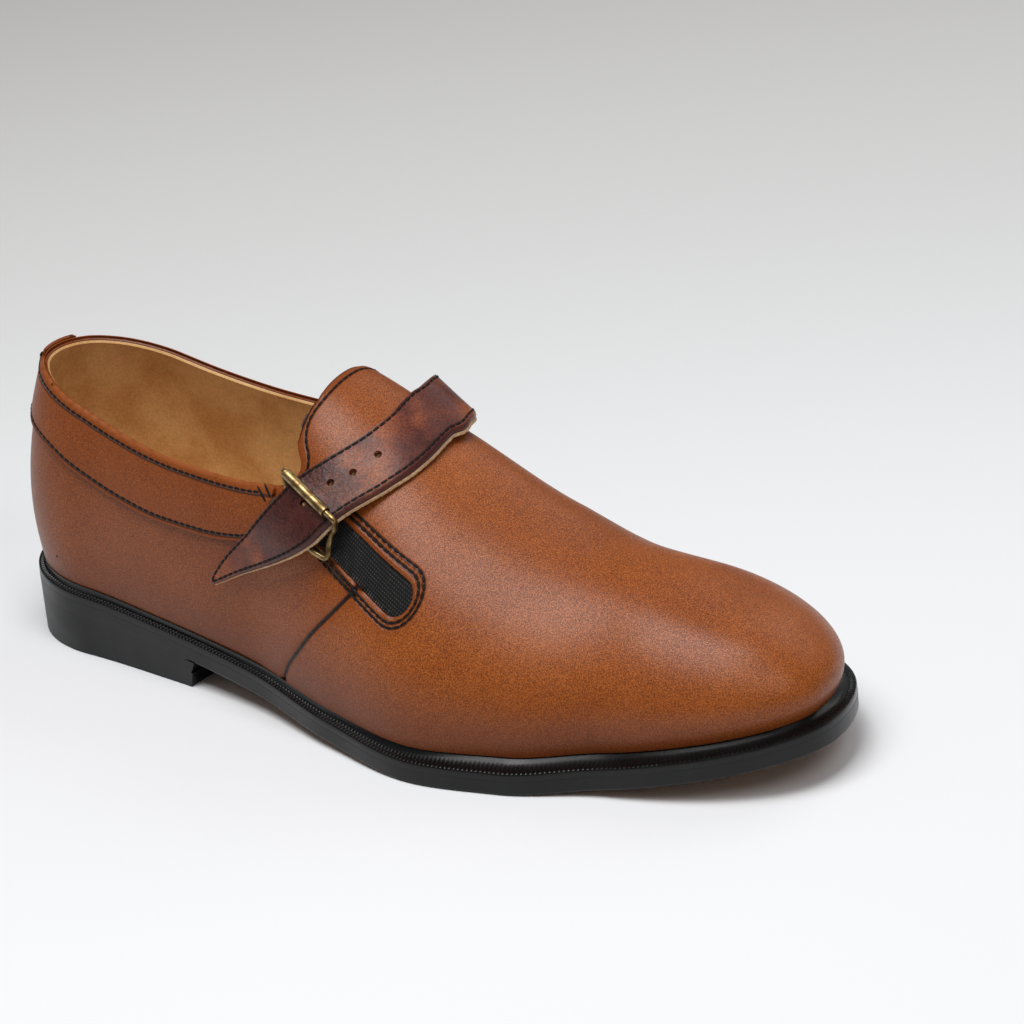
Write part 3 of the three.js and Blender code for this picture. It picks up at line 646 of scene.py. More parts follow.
class Graph:
    """The nodes of one material."""

    def __init__(self, name: str) -> None:
        """Start an empty material."""
        self.material = bpy.data.materials.new(name)
        self.material.use_nodes = True
        self.tree = self.material.node_tree
        self.tree.nodes.clear()

    def node(self, kind: str, settings: dict[str, Any] | None = None,
             values: dict[str | int, Any] | None = None, output: str | int = 0) -> Signal:
        """Add a node.

        Args:
            kind: Blender's type of the node.
            settings: its own settings, set first.
            values: numbers, colours or signals for its sockets, by name or place.
            output: the output to give back.

        Returns:
            That output as a signal.
        """
        node = self.tree.nodes.new(kind)
        for key, value in (settings or {}).items():
            setattr(node, key, value)
        for key, value in (values or {}).items():
            if isinstance(value, Signal):
                self.tree.links.new(value.socket, node.inputs[key])
            else:
                node.inputs[key].default_value = value
        return Signal(self, node.outputs[output])

    def place(self) -> Signal:
        """Object coordinates, in metres."""
        return self.node("ShaderNodeTexCoord", output="Object")

    def mark(self, name: str) -> Signal:
        """A number kept on the mesh's vertices."""
        settings = {"attribute_type": "GEOMETRY", "attribute_name": name}
        return self.node("ShaderNodeAttribute", settings, output="Fac")

    def noise(self, size: float, detail: float, roughness: float, stretch: Signal | None = None) -> Signal:
        """Noise with patches of a size in millimetres."""
        values = {"Vector": stretch or self.place(), "Scale": 1 / (size * MM), "Detail": detail,
                  "Roughness": roughness}
        return self.node("ShaderNodeTexNoise", None, values, "Fac")

    def cells(self, size: float) -> Signal:
        """Cells of a size in millimetres."""
        values = {"Vector": self.place(), "Scale": 1 / (size * MM)}
        return self.node("ShaderNodeTexVoronoi", None, values, "Distance")

    def mapped(self, turn: tuple[float, float, float], scale: tuple[float, float, float]) -> Signal:
        """Object coordinates, turned and scaled."""
        values = {"Vector": self.place(), "Rotation": turn, "Scale": scale}
        return self.node("ShaderNodeMapping", None, values)

    def split(self, vector: Signal) -> tuple[Signal, Signal, Signal]:
        """The three parts of a vector."""
        node = self.tree.nodes.new("ShaderNodeSeparateXYZ")
        self.tree.links.new(vector.socket, node.inputs[0])
        return tuple(Signal(self, socket) for socket in node.outputs)

    def mix(self, share: Signal | float, low: Signal | Colour, high: Signal | Colour,
            blend: str = "MIX") -> Signal:
        """Mix of two colours."""
        settings = {"data_type": "RGBA", "blend_type": blend}
        return self.node("ShaderNodeMix", settings, {0: share, 6: low, 7: high}, output=2)

    def shade(self, colour: Signal, amount: Signal) -> Signal:
        """A colour made lighter or darker by a number round 1."""
        grey = self.node("ShaderNodeCombineColor", None, {0: amount, 1: amount, 2: amount})
        return self.mix(1.0, colour, grey, "MULTIPLY")

    def bump(self, height: Signal, depth: float, below: Signal | None = None) -> Signal:
        """Relief of a depth in millimetres for a height from 0 to 1."""
        values = {"Height": height, "Distance": depth * MM, "Strength": 1.0}
        if below is not None:
            values["Normal"] = below
        return self.node("ShaderNodeBump", None, values)

    def finish(self, colour: Signal | Colour, roughness: Signal | float, normal: Signal | None = None,
               **fixed: Any) -> bpy.types.Material:
        """Close the material with its shader.

        Args:
            colour: base colour.
            roughness: roughness.
            normal: relief.
            fixed: further sockets of the shader, by name with spaces as underscores.

        Returns:
            The finished material.
        """
        values: dict[str | int, Any] = {"Base Color": colour, "Roughness": roughness}
        if normal is not None:
            values["Normal"] = normal
        values.update({key.replace("_", " "): value for key, value in fixed.items()})
        shader = self.node("ShaderNodeBsdfPrincipled", None, values)
        end = self.tree.nodes.new("ShaderNodeOutputMaterial")
        self.tree.links.new(shader.socket, end.inputs["Surface"])
        return self.material


@dataclass(frozen=True)
class UpperLeather:
    """Brown calf of vamp, quarters and collar, with painted shade along its edges and seams, in its grooves,
    towards the floor and towards the back.
    """

    name: str = "brown_calf"
    light: Colour = srgb(190, 112, 54)
    middle: Colour = srgb(160, 84, 32)
    deep: Colour = srgb(130, 60, 15)
    # painted shade: a dark brown laid along each cut edge and seam
    edge_shade: Colour = srgb(58, 24, 10)
    shadow: Colour = srgb(92, 38, 10)
    # painted shade: near black laid in the seam's groove and in the stitch troughs
    groove: Colour = srgb(22, 10, 6)
    cut: Colour = srgb(158, 86, 40)
    cut_share: float = 0.0
    pore_tone: float = 0.52
    bead: float = 2.6
    bead_row: float = 2.4

    def material(self, stitched: dict[str, Sequence[float]]) -> bpy.types.Material:
        """Build the leather.

        Args:
            stitched: for each mark on the mesh, the distances from its edge where stitches run.

        Returns:
            The material.
        """
        g = Graph(self.name + "_" + "_".join(stitched))
        clouds = g.noise(42, 3, 0.55)
        mottle = g.noise(7, 3, 0.6)
        grain = g.noise(0.36, 3, 0.65)
        pores = g.cells(0.6)
        tone = clouds.ramp(0.32, 0.68) * 0.55 + mottle.ramp(0.3, 0.7) * 0.2
        colour = g.mix(tone + 0.12, self.deep, self.middle)
        colour = g.mix(grain.ramp(0.5, 0.62) * 0.5, colour, self.light)
        colour = g.shade(colour, grain.ramp(0.4, 0.54, self.pore_tone, 1.12))
        east, _, height = g.split(g.place())
        # painted shade: darker towards the floor and towards the back of the shoe
        colour = g.mix(height.ramp(0.012, 0.04, 0.6, 0.0), colour, self.shadow)
        colour = g.mix(east.ramp(-0.06, 0.03, 0.35, 0.0), colour, self.shadow)
        groove = None
        coat: Signal | float = 0.08
        for mark, rows in stitched.items():
            edge = g.mark(mark)
            # painted shade: darkest within 1.3 mm of each edge, then a fainter darkening that fades out 9 mm
            # in
            colour = g.mix(edge.ramp(0.0, 1.3, 0.45, 0.0), colour, self.edge_shade)
            colour = g.mix(edge.ramp(0.5, 9.0, 0.35, 0.0), colour, self.deep)
            for row in rows:
                trough = edge.near(row, 0.75)
                groove = trough if groove is None else groove.larger(trough)
            if mark == "seam":
                # painted shade in the groove of the seam between vamp and quarter
                colour = g.mix(edge.ramp(0.25, 1.05, 1.0, 0.0), colour, self.groove)
                coat = edge.ramp(0.6, 1.4, 0.0, 0.08)
            if mark == "opening" and self.cut_share:
                colour = g.mix(edge.ramp(0.0, 1.3, self.cut_share, 0.0), colour, self.cut)
        relief = g.bump(grain * 0.7 + pores * 0.3, 0.06)
        relief = g.bump(mottle, 0.08, relief)
        if groove is not None:
            if "gore" in stitched:
                between = g.mark("gore").near(self.bead_row, 0.6)
                beads = (g.mark("gore_run") * (2 * math.pi / self.bead)).sine() * 0.5 + 0.5
                relief = g.bump(beads * between, 0.3, relief)
            # painted shade in the stitch troughs, which also carry the relief
            colour = g.mix(groove * 0.8, colour, self.groove)
            relief = g.bump(1 - groove, 0.35, relief)
        rough = grain.ramp(0.35, 0.65, 0.46, 0.33)
        return g.finish(colour, rough, relief, Coat_Weight=coat, Coat_Roughness=0.3, Specular_IOR_Level=0.26)


@dataclass(frozen=True)
class StrapLeather:
    """Dark red strap leather, rubbed orange in places."""

    name: str = "oxblood_strap"
    deep: Colour = srgb(62, 22, 16)
    wine: Colour = srgb(106, 46, 32)
    rubbed: Colour = srgb(160, 82, 34)

    def material(self) -> bpy.types.Material:
        """Build the leather."""
        g = Graph(self.name)
        clouds = g.noise(26, 2, 0.5)
        mottle = g.noise(4, 3, 0.6)
        grain = g.noise(0.6, 3, 0.6)
        along = g.mark("along")
        wrinkles = g.noise(1.1, 3, 0.6, g.mapped((0.4, 0.3, 0.55), (1.0, 0.25, 1.0)))
        worn = along.near(0.3, 0.24)
        colour = g.mix(clouds.ramp(0.35, 0.65) * 0.7 + mottle.ramp(0.3, 0.7) * 0.3, self.deep, self.wine)
        colour = g.mix(clouds.ramp(0.5, 0.66) * 0.85, colour, self.rubbed)
        colour = g.shade(colour, grain.ramp(0.36, 0.6, 0.5, 1.18))
        # painted shade: the colour darkens in the wrinkle troughs, which also carry the relief
        colour = g.shade(colour, (wrinkles * worn).ramp(0.35, 0.62, 1.0, 0.5))
        edge = g.mark("edge")
        colour = g.mix(edge.ramp(0.1, 1.2, 0.6, 0.0), colour, self.deep)
        groove = edge.near(1.35, 0.6)
        relief = g.bump(grain, 0.05)
        relief = g.bump(wrinkles * worn, 0.6, relief)
        relief = g.bump(1 - groove, 0.3, relief)
        rough = mottle.ramp(0.3, 0.7, 0.34, 0.5)
        return g.finish(colour, rough, relief, Coat_Weight=0.14, Coat_Roughness=0.22, Specular_IOR_Level=0.32)


@dataclass(frozen=True)
class RawEdge:
    """Cream flesh side and cut edge of a lower layer."""

    name: str = "raw_leather_edge"
    cream: Colour = srgb(224, 196, 154)
    shadow: Colour = srgb(160, 104, 62)

    def material(self) -> bpy.types.Material:
        """Build the fuzzy edge."""
        g = Graph(self.name)
        fuzz = g.noise(0.5, 4, 0.7)
        patches = g.noise(5, 2, 0.5)
        colour = g.mix(fuzz.ramp(0.35, 0.65) * 0.6 + patches * 0.4, self.shadow, self.cream)
        return g.finish(colour, 0.9, g.bump(fuzz, 0.3))


@dataclass(frozen=True)
class Lining:
    """Tan lining leather, lighter at its cut edge."""

    name: str = "tan_lining"
    tan: Colour = srgb(224, 180, 122)
    brown: Colour = srgb(188, 132, 72)
    cream: Colour = srgb(240, 214, 168)

    def material(self) -> bpy.types.Material:
        """Build the lining."""
        g = Graph(self.name)
        clouds = g.noise(20, 3, 0.55)
        nap = g.noise(0.9, 4, 0.65)
        colour = g.mix(clouds.ramp(0.3, 0.7) * 0.7 + nap * 0.3, self.brown, self.tan)
        colour = g.shade(colour, nap.ramp(0.3, 0.7, 0.88, 1.08))
        colour = g.mix(g.mark("collar_edge").ramp(0.4, 1.1, 0.95, 0.0), colour, self.cream)
        return g.finish(colour, 0.82, g.bump(nap, 0.12))


@dataclass(frozen=True)
class Elastic:
    """Black woven elastic of the gores."""

    name: str = "black_elastic"
    black: Colour = srgb(16, 16, 17)
    thread: Colour = srgb(70, 69, 66)
    rib: float = 0.85
    pick: float = 0.9

    def material(self) -> bpy.types.Material:
        """Build the weave."""
        g = Graph(self.name)
        along, across = g.mark("weave_along"), g.mark("weave_across")
        ribs = (across * (2 * math.pi / self.rib)).sine() * 0.5 + 0.5
        picks = (along * (2 * math.pi / self.pick)).sine() * 0.5 + 0.5
        wear = g.noise(2.6, 3, 0.6)
        knots = ribs * picks
        colour = g.mix(knots.ramp(0.3, 0.9) * wear.ramp(0.4, 0.66, 0.45, 1.0), self.black, self.thread)
        selvedge = (abs(across)).ramp(3.3, 4.4) * picks.ramp(0.6, 0.95) * wear.ramp(0.45, 0.6)
        colour = g.mix(selvedge * 0.3, colour, srgb(130, 128, 120))
        relief = g.bump(ribs * 0.7 + picks * 0.3, 0.22)
        return g.finish(colour, 0.8, relief, Specular_IOR_Level=0.25)


@dataclass(frozen=True)
class WaxedEdge:
    """Waxed black of welt, sole edge and heel."""

    name: str = "waxed_black"
    black: Colour = srgb(13, 13, 14)
    worn: Colour = srgb(40, 38, 37)
    gloss: float = 0.3
    underside: Colour | None = None

    def material(self) -> bpy.types.Material:
        """Build the finish, with the bare leather of the underside where it has one."""
        g = Graph(self.name)
        dust = g.noise(1.2, 4, 0.65)
        clouds = g.noise(14, 3, 0.5)
        colour: Signal = g.mix(dust.ramp(0.58, 0.78) * 0.35, self.black, self.worn)
        rough = clouds.ramp(0.3, 0.7, self.gloss, self.gloss + 0.14)
        relief = g.bump(dust, 0.012)
        if self.underside is not None:
            facing = g.split(g.node("ShaderNodeNewGeometry", output="Normal"))[2]
            below = facing.ramp(-0.9, -0.6, 1.0, 0.0)
            leather = g.shade(g.mix(1.0, self.underside, self.underside), clouds.ramp(0.3, 0.7, 0.8, 1.1))
            colour = g.mix(below, colour, leather)
            rough = rough + below * 0.25
        return g.finish(colour, rough, relief, Coat_Weight=0.06, Coat_Roughness=0.12, Specular_IOR_Level=0.3)


@dataclass(frozen=True)
class Thread:
    """Waxed black sewing thread."""

    name: str = "black_thread"
    black: Colour = srgb(14, 12, 12)

    def material(self) -> bpy.types.Material:
        """Build the thread."""
        g = Graph(self.name)
        twist = g.noise(0.3, 2, 0.6)
        colour = g.mix(twist, self.black, srgb(24, 18, 16))
        return g.finish(colour, 0.65, g.bump(twist, 0.04), Specular_IOR_Level=0.2)


@dataclass(frozen=True)
class AntiqueBrass:
    """Brass with brown tarnish in its hollows."""

    name: str = "antique_brass"
    bright: Colour = srgb(172, 146, 100)
    tarnish: Colour = srgb(104, 80, 48)

    def material(self) -> bpy.types.Material:
        """Build the metal."""
        g = Graph(self.name)
        patches = g.noise(3.2, 3, 0.6)
        scratches = g.noise(0.5, 3, 0.6)
        colour = g.mix(patches.ramp(0.35, 0.66), self.tarnish, self.bright)
        rough = patches.ramp(0.35, 0.66, 0.42, 0.26) + scratches * 0.06
        return g.finish(colour, rough, g.bump(scratches, 0.006), Metallic=0.92)


def link(name: str, data: bpy.types.ID) -> bpy.types.Object:
    """A new object in the scene."""
    thing = bpy.data.objects.new(name, data)
    bpy.context.scene.collection.objects.link(thing)
    return thing


def add_piece(name: str, mesh: bmesh.types.BMesh, material: bpy.types.Material,
              stands_for: Sequence[str] = (), sharp: float = 40.0) -> bpy.types.Object:
    """Make an object of a finished mesh and fasten it to the frame.

    Args:
        name: name of the piece.
        mesh: its mesh, in metres in the frame.
        material: its finish.
        stands_for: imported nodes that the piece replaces.
        sharp: angle in degrees past which an edge stays sharp.

    Returns:
        The object.
    """
    data = bpy.data.meshes.new(name)
    mesh.to_mesh(data)
    mesh.free()
    data.materials.append(material)
    data.shade_smooth()
    data.set_sharp_from_angle(angle=math.radians(sharp))
    piece = link(name, data)
    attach(piece, "root")
    if stands_for:
        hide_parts(*stands_for)
    data.calc_loop_triangles()
    LOG.info("%s: %d triangles", name, len(data.loop_triangles))
    return piece


def roll(margin: Array, radius: float) -> Array:
    """Drop of a rounded edge at a distance from it."""
    inwards = np.clip(radius - np.maximum(margin, 0), 0, radius)
    return radius - np.sqrt(np.maximum(radius**2 - inwards**2, 0))


class Crease(NamedTuple):
    """A soft trough or ridge of the upper, seen from the side."""

    x: float
    z: float
    side: int
    turn: float
    length: float
    width: float
    depth: float


CREASES = table(
    Crease,
    (128, 44, -1, 0.55, 26, 7, 1.6), (120, 30, -1, 0.75, 22, 8, 0.6), (148, 60, -1, 0.3, 12, 4, 0.5),
    (128, 44, 1, 0.55, 26, 7, 0.8), (60, 40, -1, 0.2, 34, 12, 0.5), (60, 40, 1, 0.2, 34, 12, 0.5),
)


def creasing(points: Array) -> Array:
    """Drop of the creases at points of the upper."""
    drop = np.zeros(len(points))
    for row in CREASES:
        dx, dz = points[:, 0] - row.x, points[:, 2] - row.z
        along = dx * math.cos(row.turn) + dz * math.sin(row.turn)
        across = dz * math.cos(row.turn) - dx * math.sin(row.turn)
        same_side = 1 / (1 + np.exp(-points[:, 1] * row.side / 2))
        drop += row.depth * same_side * np.exp(-(along / row.length) ** 2 - (across / row.width) ** 2)
    return drop


@dataclass(frozen=True)
class Patch:
    """Stretch of the last that a sheet is cut from."""

    from_station: float
    to_station: float
    cell: float
    girth_reach: float = 230.0

    def sheet(self) -> Sheet:
        """A flat grid of the right fineness."""
        columns = max(int((self.to_station - self.from_station) / self.cell), 8)
        return Sheet(columns, int(self.girth_reach / self.cell))

    def place(self, u: Array, v: Array, depth: Array) -> Array:
        """Points of the last for places on the grid."""
        low, high = LAST.share(self.from_station), LAST.share(self.to_station)
        return LAST.surface(low + (high - low) * u, 1 - 2 * v, depth)

    def leather(self, keep: Field, inner: float, outer: float, marks: dict[str, Field],
                drop: Field | None = None, is_ring: bool = True) -> bmesh.types.BMesh:
        """A sheet cut to its outline and laid on the last.

        Args:
            keep: distance inside the outline, for points of the last.
            inner: depth of the inner face.
            outer: depth of the outer face.
            marks: numbers kept on each vertex for the finish.
            drop: distance by which the outer face drops.
            is_ring: whether it runs all the way round.

        Returns:
            The closed sheet.
        """
        sheet = self.sheet().cut(lambda u, v: keep(self.place(u, v, np.zeros_like(u))))
        return sheet.shell(self.place, inner, outer, marks, drop, is_ring=is_ring)


@dataclass
class Upper:
    """Vamp with its tongue, the quarters and their lining."""

    leather: float = 1.2
    lining_thickness: float = 0.9
    vamp_rise: float = 0.3
    edge_radius: float = 0.7
    vamp_seam_radius: float = 0.8
    quarter_seam_radius: float = 0.7
    lining_drop: float = 0.3
    lining_setback: float = 0.4
    lining_gap: float = 0.02
    gore_rows: tuple[float, float] = (1.7, 3.1)
    tongue_row: float = 2.9

    def vamp(self) -> bmesh.types.BMesh:
        """The front of the upper, from the seam in front of the waist to the toe."""
        edge = least(PROFILES.opening_margin, PROFILES.gore_margin)
        seam = PROFILES.vamp_margin

        def drop(points: Array) -> Array:
            rounded = roll(edge(points), self.edge_radius) + roll(seam(points), self.vamp_seam_radius)
            return rounded + creasing(points)

        return Patch(116, 300, 1.15, 215).leather(
            least(edge, seam), -self.leather, self.vamp_rise, self.marks(seam), drop)

    def quarters(self) -> bmesh.types.BMesh:
        """The back of the upper, round the heel from seam to seam."""
        edge = least(PROFILES.opening_margin, PROFILES.gore_margin)

        def drop(points: Array) -> Array:
            rounded = roll(edge(points), self.edge_radius)
            return rounded + roll(across_seam(points), self.quarter_seam_radius) + creasing(points)

        return Patch(0, 172, 1.3).leather(
            least(edge, across_seam), -self.leather, 0, self.marks(across_seam), drop)

    def marks(self, seam: Field) -> dict[str, Field]:
        """Distances that the finish of vamp or quarters reads."""
        return {"opening": PROFILES.opening_margin, "gore": PROFILES.gore_margin, "seam": seam,
                "gore_run": PROFILES.gore_run}

    def lining(self) -> bmesh.types.BMesh:
        """The inner skin from heel to toe, with its cut edge round the collar."""
        edge = less(PROFILES.opening_margin, self.lining_drop)
        return Patch(0, 300, 1.9).leather(
            least(edge, less(PROFILES.gore_margin, self.lining_setback)),
            -self.leather - self.lining_thickness, -self.leather - self.lining_gap, {"collar_edge": edge})

    def build(self) -> None:
        """Make and dress the upper."""
        vamp = UpperLeather("vamp_calf").material(
            {"gore": self.gore_rows, "opening": (self.tongue_row,), "seam": ()})
        quarter = UpperLeather("quarter_calf", pore_tone=0.62).material(
            {"gore": self.gore_rows, "opening": (), "seam": ()})
        add_piece("vamp", self.vamp(), vamp, ["upper"])
        add_piece("quarters", self.quarters(), quarter, ["upper"])
        add_piece("lining", self.lining(), Lining().material(), ["upper"])


@dataclass
class Collar:
    """Band round the top of the quarters and the strip down the back seam."""

    base: float = 0.1
    rise: float = 1.3
    row_from_top: float = 2.9
    row_from_foot: float = 1.7
    top_radius: float = 1.0
    foot_radius: float = 0.4
    front: float = 124.5
    strip_top: float = 15.0
    strip_foot: float = 11.0
    strip_foot_z: float = 31.0
    strip_reach: float = 12.0
    strip_radius: float = 0.5
    strip_top_radius: float = 0.9
    strip_inner: float = -0.6
    strip_outer: float = 1.1

    def band(self) -> bmesh.types.BMesh:
        """The collar band."""
        top, foot = PROFILES.opening_margin, PROFILES.band_margin

        def drop(points: Array) -> Array:
            return roll(top(points), self.top_radius) + roll(foot(points), self.foot_radius)

        return Patch(0, 130, 1.2).leather(least(top, foot, lambda points: self.front - points[:, 0]),
                                          self.base, self.rise, {"opening": top, "foot": foot}, drop)

    def strip_margin(self, points: Array) -> Array:
        """Distance inside the heel strip's outline."""
        half = self.strip_foot + (self.strip_top - self.strip_foot) * (points[:, 2] - self.strip_foot_z) / 60
        return np.minimum(half / 2 - np.abs(points[:, 1]), points[:, 2] - self.strip_foot_z)

    def strip(self) -> bmesh.types.BMesh:
        """The heel strip, over the back seam and the topline."""
        top, side = PROFILES.opening_margin, self.strip_margin

        def drop(points: Array) -> Array:
            return roll(side(points), self.strip_radius) + roll(top(points), self.strip_top_radius)

        keep = least(side, top, lambda points: self.strip_reach - points[:, 0])
        return Patch(0, 14, 0.4).leather(keep, self.rise + self.strip_inner, self.rise + self.strip_outer,
                                         {"side_edge": side}, drop)

    def build(self) -> None:
        """Make and dress the collar."""
        band = UpperLeather("collar_calf", cut_share=0.8, pore_tone=0.6).material(
            {"opening": (self.row_from_top,), "foot": (self.row_from_foot,)})
        strip = UpperLeather("strip_calf").material({"side_edge": (1.2,)})
        add_piece("collar_cover", self.band(), band, ["collar_band"])
        add_piece("heel_strip_cover", self.strip(), strip, ["heel_strip"])


@dataclass
class Gores:
    """Elastic in the two windows of the upper."""

    recess: float = 0.65
    thickness: float = 0.9
    clearance: float = 0.1
    ridge_gap: float = 8.0

    def gore(self, side: Side) -> bmesh.types.BMesh:
        """The elastic of one side."""
        top, foot = np.array(PROFILES.gore_top), np.array(PROFILES.gore_foot)
        heading = unit(foot - top)
        sideways = np.array([-heading[1], heading[0]])

        def keep(points: Array) -> Array:
            inside = -PROFILES.gore_margin(points) - self.clearance
            return np.minimum(inside, points[:, 1] * side.value - self.ridge_gap)

        marks = {"weave_along": lambda points: (points[:, [0, 2]] - top) @ heading,
                 "weave_across": lambda points: (points[:, [0, 2]] - top) @ sideways}
        return Patch(126, 186, 0.9).leather(
            keep, -self.recess - self.thickness, -self.recess, marks, is_ring=False)

    def build(self) -> None:
        """Make and dress both gores."""
        weave = Elastic().material()
        for side in Side:
            name = side.name.lower()
            add_piece(f"elastic_{name}", self.gore(side), weave, [f"gore_{name}"])


class StrapRow(NamedTuple):
    """A section of the strap: its place round the last, its edges and its height above the upper."""

    girth: float
    back: float
    front: float
    lift_back: float
    lift_front: float


STRAP = table(
    StrapRow,
    (-0.862, 101, 102.2, 1.9, 1.9), (-0.848, 101.6, 105.4, 1.9, 1.9), (-0.815, 104.5, 112.2, 1.9, 1.9),
    (-0.77, 109.4, 121.4, 2.1, 2.1), (-0.71, 116.8, 132.7, 2.9, 2.9), (-0.655, 123, 141.6, 4.2, 4.2),
    (-0.595, 128.9, 148.6, 5, 5), (-0.55, 132.9, 152.1, 5.35, 5.25), (-0.51, 135.6, 154.7, 5.2, 5.05),
    (-0.46, 138.4, 157.5, 4, 4), (-0.39, 143.2, 161.8, 3.3, 2.8), (-0.3, 148.6, 166.7, 2.9, 1.7),
    (-0.2, 153.9, 171.4, 3.6, 1.6), (-0.08, 157.2, 174.5, 4.9, 2.2), (0.04, 157.4, 175.3, 6.4, 3.2),
    (0.16, 154.6, 171.5, 7.6, 4.4), (0.29, 148.1, 164.9, 7.6, 4.6), (0.42, 137.6, 156.1, 5.8, 3.6),
    (0.53, 126.8, 146.4, 3.6, 2.4), (0.62, 117.5, 137.8, 1.9, 1.7),
)


class Belt:
    """A band that follows the last between two edges."""

    def __init__(self, rows: Sequence[NamedTuple], lifts: tuple[str, str]) -> None:
        """Read the band's rows, and the columns that hold the heights of its two edges."""
        self.back, self.front = Curve(rows, "back", "girth"), Curve(rows, "front", "girth")
        self.lift_back, self.lift_front = (Curve(rows, column, "girth") for column in lifts)
        self.start, self.end = rows[0].girth, rows[-1].girth

    def place(self, u: Array, v: Array, depth: Array | float = 0.0) -> Array:
        """Points at a share u of the band's length, v of its width and a depth above its underside."""
        girth = self.start + (self.end - self.start) * u
        lift = self.lift_back(girth) * (1 - v) + self.lift_front(girth) * v
        station = self.back(girth) * (1 - v) + self.front(girth) * v
        return LAST.surface(LAST.share(station), girth, lift + depth)

    def width(self, u: Array) -> Array:
        """Width of the band in millimetres."""
        low, high = self.place(u, np.zeros_like(u)), self.place(u, np.ones_like(u))
        return np.linalg.norm(high - low, axis=-1)

    def margin(self, u: Array, v: Array) -> Array:
        """Distance from the nearer long edge."""
        return self.width(u) * np.minimum(v, 1 - v)

    def normal(self, u: Array, v: Array) -> Array:
        """Outward directions of the band."""
        step = 0.003
        along = self.place(u + step, v) - self.place(u - step, v)
        across = self.place(u, v + step) - self.place(u, v - step)
        return unit(np.cross(across, along))


STRAP_BELT = Belt(STRAP, ("lift_back", "lift_front"))


@dataclass
class Strap:
    """Strap of two layers with punched holes, from the medial quarter to its point."""

    under_thickness: float = 0.9
    thickness: float = 2.3
    edge_radius: float = 0.8
    overhang: float = 0.22
    rag: float = 0.5
    rag_waves: tuple[float, float] = (610.0, 319.0)
    hole_radius: float = 1.2
    holes: tuple[tuple[float, float], ...] = ((0.23, 0.44), (0.297, 0.44), (0.347, 0.49), (0.417, 0.45))
    rows: tuple[float, float] = (1.35, 1.35)

    def keep(self, u: Array, v: Array) -> Array:
        """Distance outside the punched holes."""
        points = STRAP_BELT.place(u, v)
        return np.minimum.reduce([
            np.linalg.norm(points - STRAP_BELT.place(np.array([along]), np.array([across])), axis=1)
            - self.hole_radius for along, across in self.holes
        ])

    def layer(self, inner: float, outer: float, overhang: float, radius: float) -> bmesh.types.BMesh:
        """One layer of the strap.

        Args:
            inner: depth of its inner face.
            outer: depth of its outer face.
            overhang: how far it stands out past the other layer.
            radius: rounding of its long edges.

        Returns:
            The layer.
        """
        def place(u: Array, v: Array, depth: Array) -> Array:
            waves = np.sin(self.rag_waves[0] * u) * np.sin(self.rag_waves[1] * u + 1 + 2 * v)
            ragged = overhang * (1 + self.rag * waves)
            wide = 0.5 + (v - 0.5) * (1 + 2 * ragged / STRAP_BELT.width(u))
            rolled = roll(STRAP_BELT.margin(u, v), radius) * (np.asarray(depth) > inner + 0.01)
            return STRAP_BELT.place(u, wide, depth - rolled)

        marks = {"edge": STRAP_BELT.margin, "along": lambda u, v: u}
        return Sheet(230, 44).cut(self.keep).shell(place, inner, outer, grid_marks=marks)

    def build(self) -> None:
        """Make and dress the strap."""
        top = self.layer(self.under_thickness + 0.02, self.thickness, 0.0, self.edge_radius)
        under = self.layer(0.0, self.under_thickness, self.overhang, 0.2)
        add_piece("strap_top", top, StrapLeather().material(), ["strap"])
        add_piece("strap_backing", under, RawEdge().material(), ["strap"])


def basis(station: float, girth: float) -> dict[str, Array]:
    """Axes of the buckle where it lies on the shoe.

    Args:
        station: station of its middle.
        girth: place of its middle round the last.

    Returns:
        Base point and the directions across, out and along.
    """
    def at(x: float, g: float, offset: float) -> Array:
        return LAST.surface(LAST.share(x), g, offset)

    base = at(station, girth, 0)
    reach, turn, rise = 12, 0.0107, 5
    across = unit(at(station + reach, girth - turn, 0) - at(station - reach, girth + turn, 0))
    out = at(station, girth, rise) - base
    out = unit(out - across * (out @ across))
    along = np.cross(across, out)
    if along[2] > 0:
        along = -along
    return {"base": base, "across": across, "out": out, "along": along}


class WireRow(NamedTuple):
    """A point of the buckle's wire in the buckle's axes."""

    along: float
    across: float
    out: float


WIRE = table(
    WireRow,
    (0, 0, 9.05), (0, 6, 9.05), (0, 11.4, 9.05), (0.3, 12.5, 8.2), (2.2, 12.1, 4.8), (4.4, 10.9, 2.1),
    (7, 11.6, 0.9), (9.2, 13.1, 0), (11, 13.4, -0.2), (11.8, 10.6, -0.1), (12.2, 7.2, 0.2), (12.3, 0, 0.5),
)
PRONG = table(WireRow, (4.2, 0.9, 3.6), (3.5, 0.9, 5.2), (2.9, 0.9, 6.6))


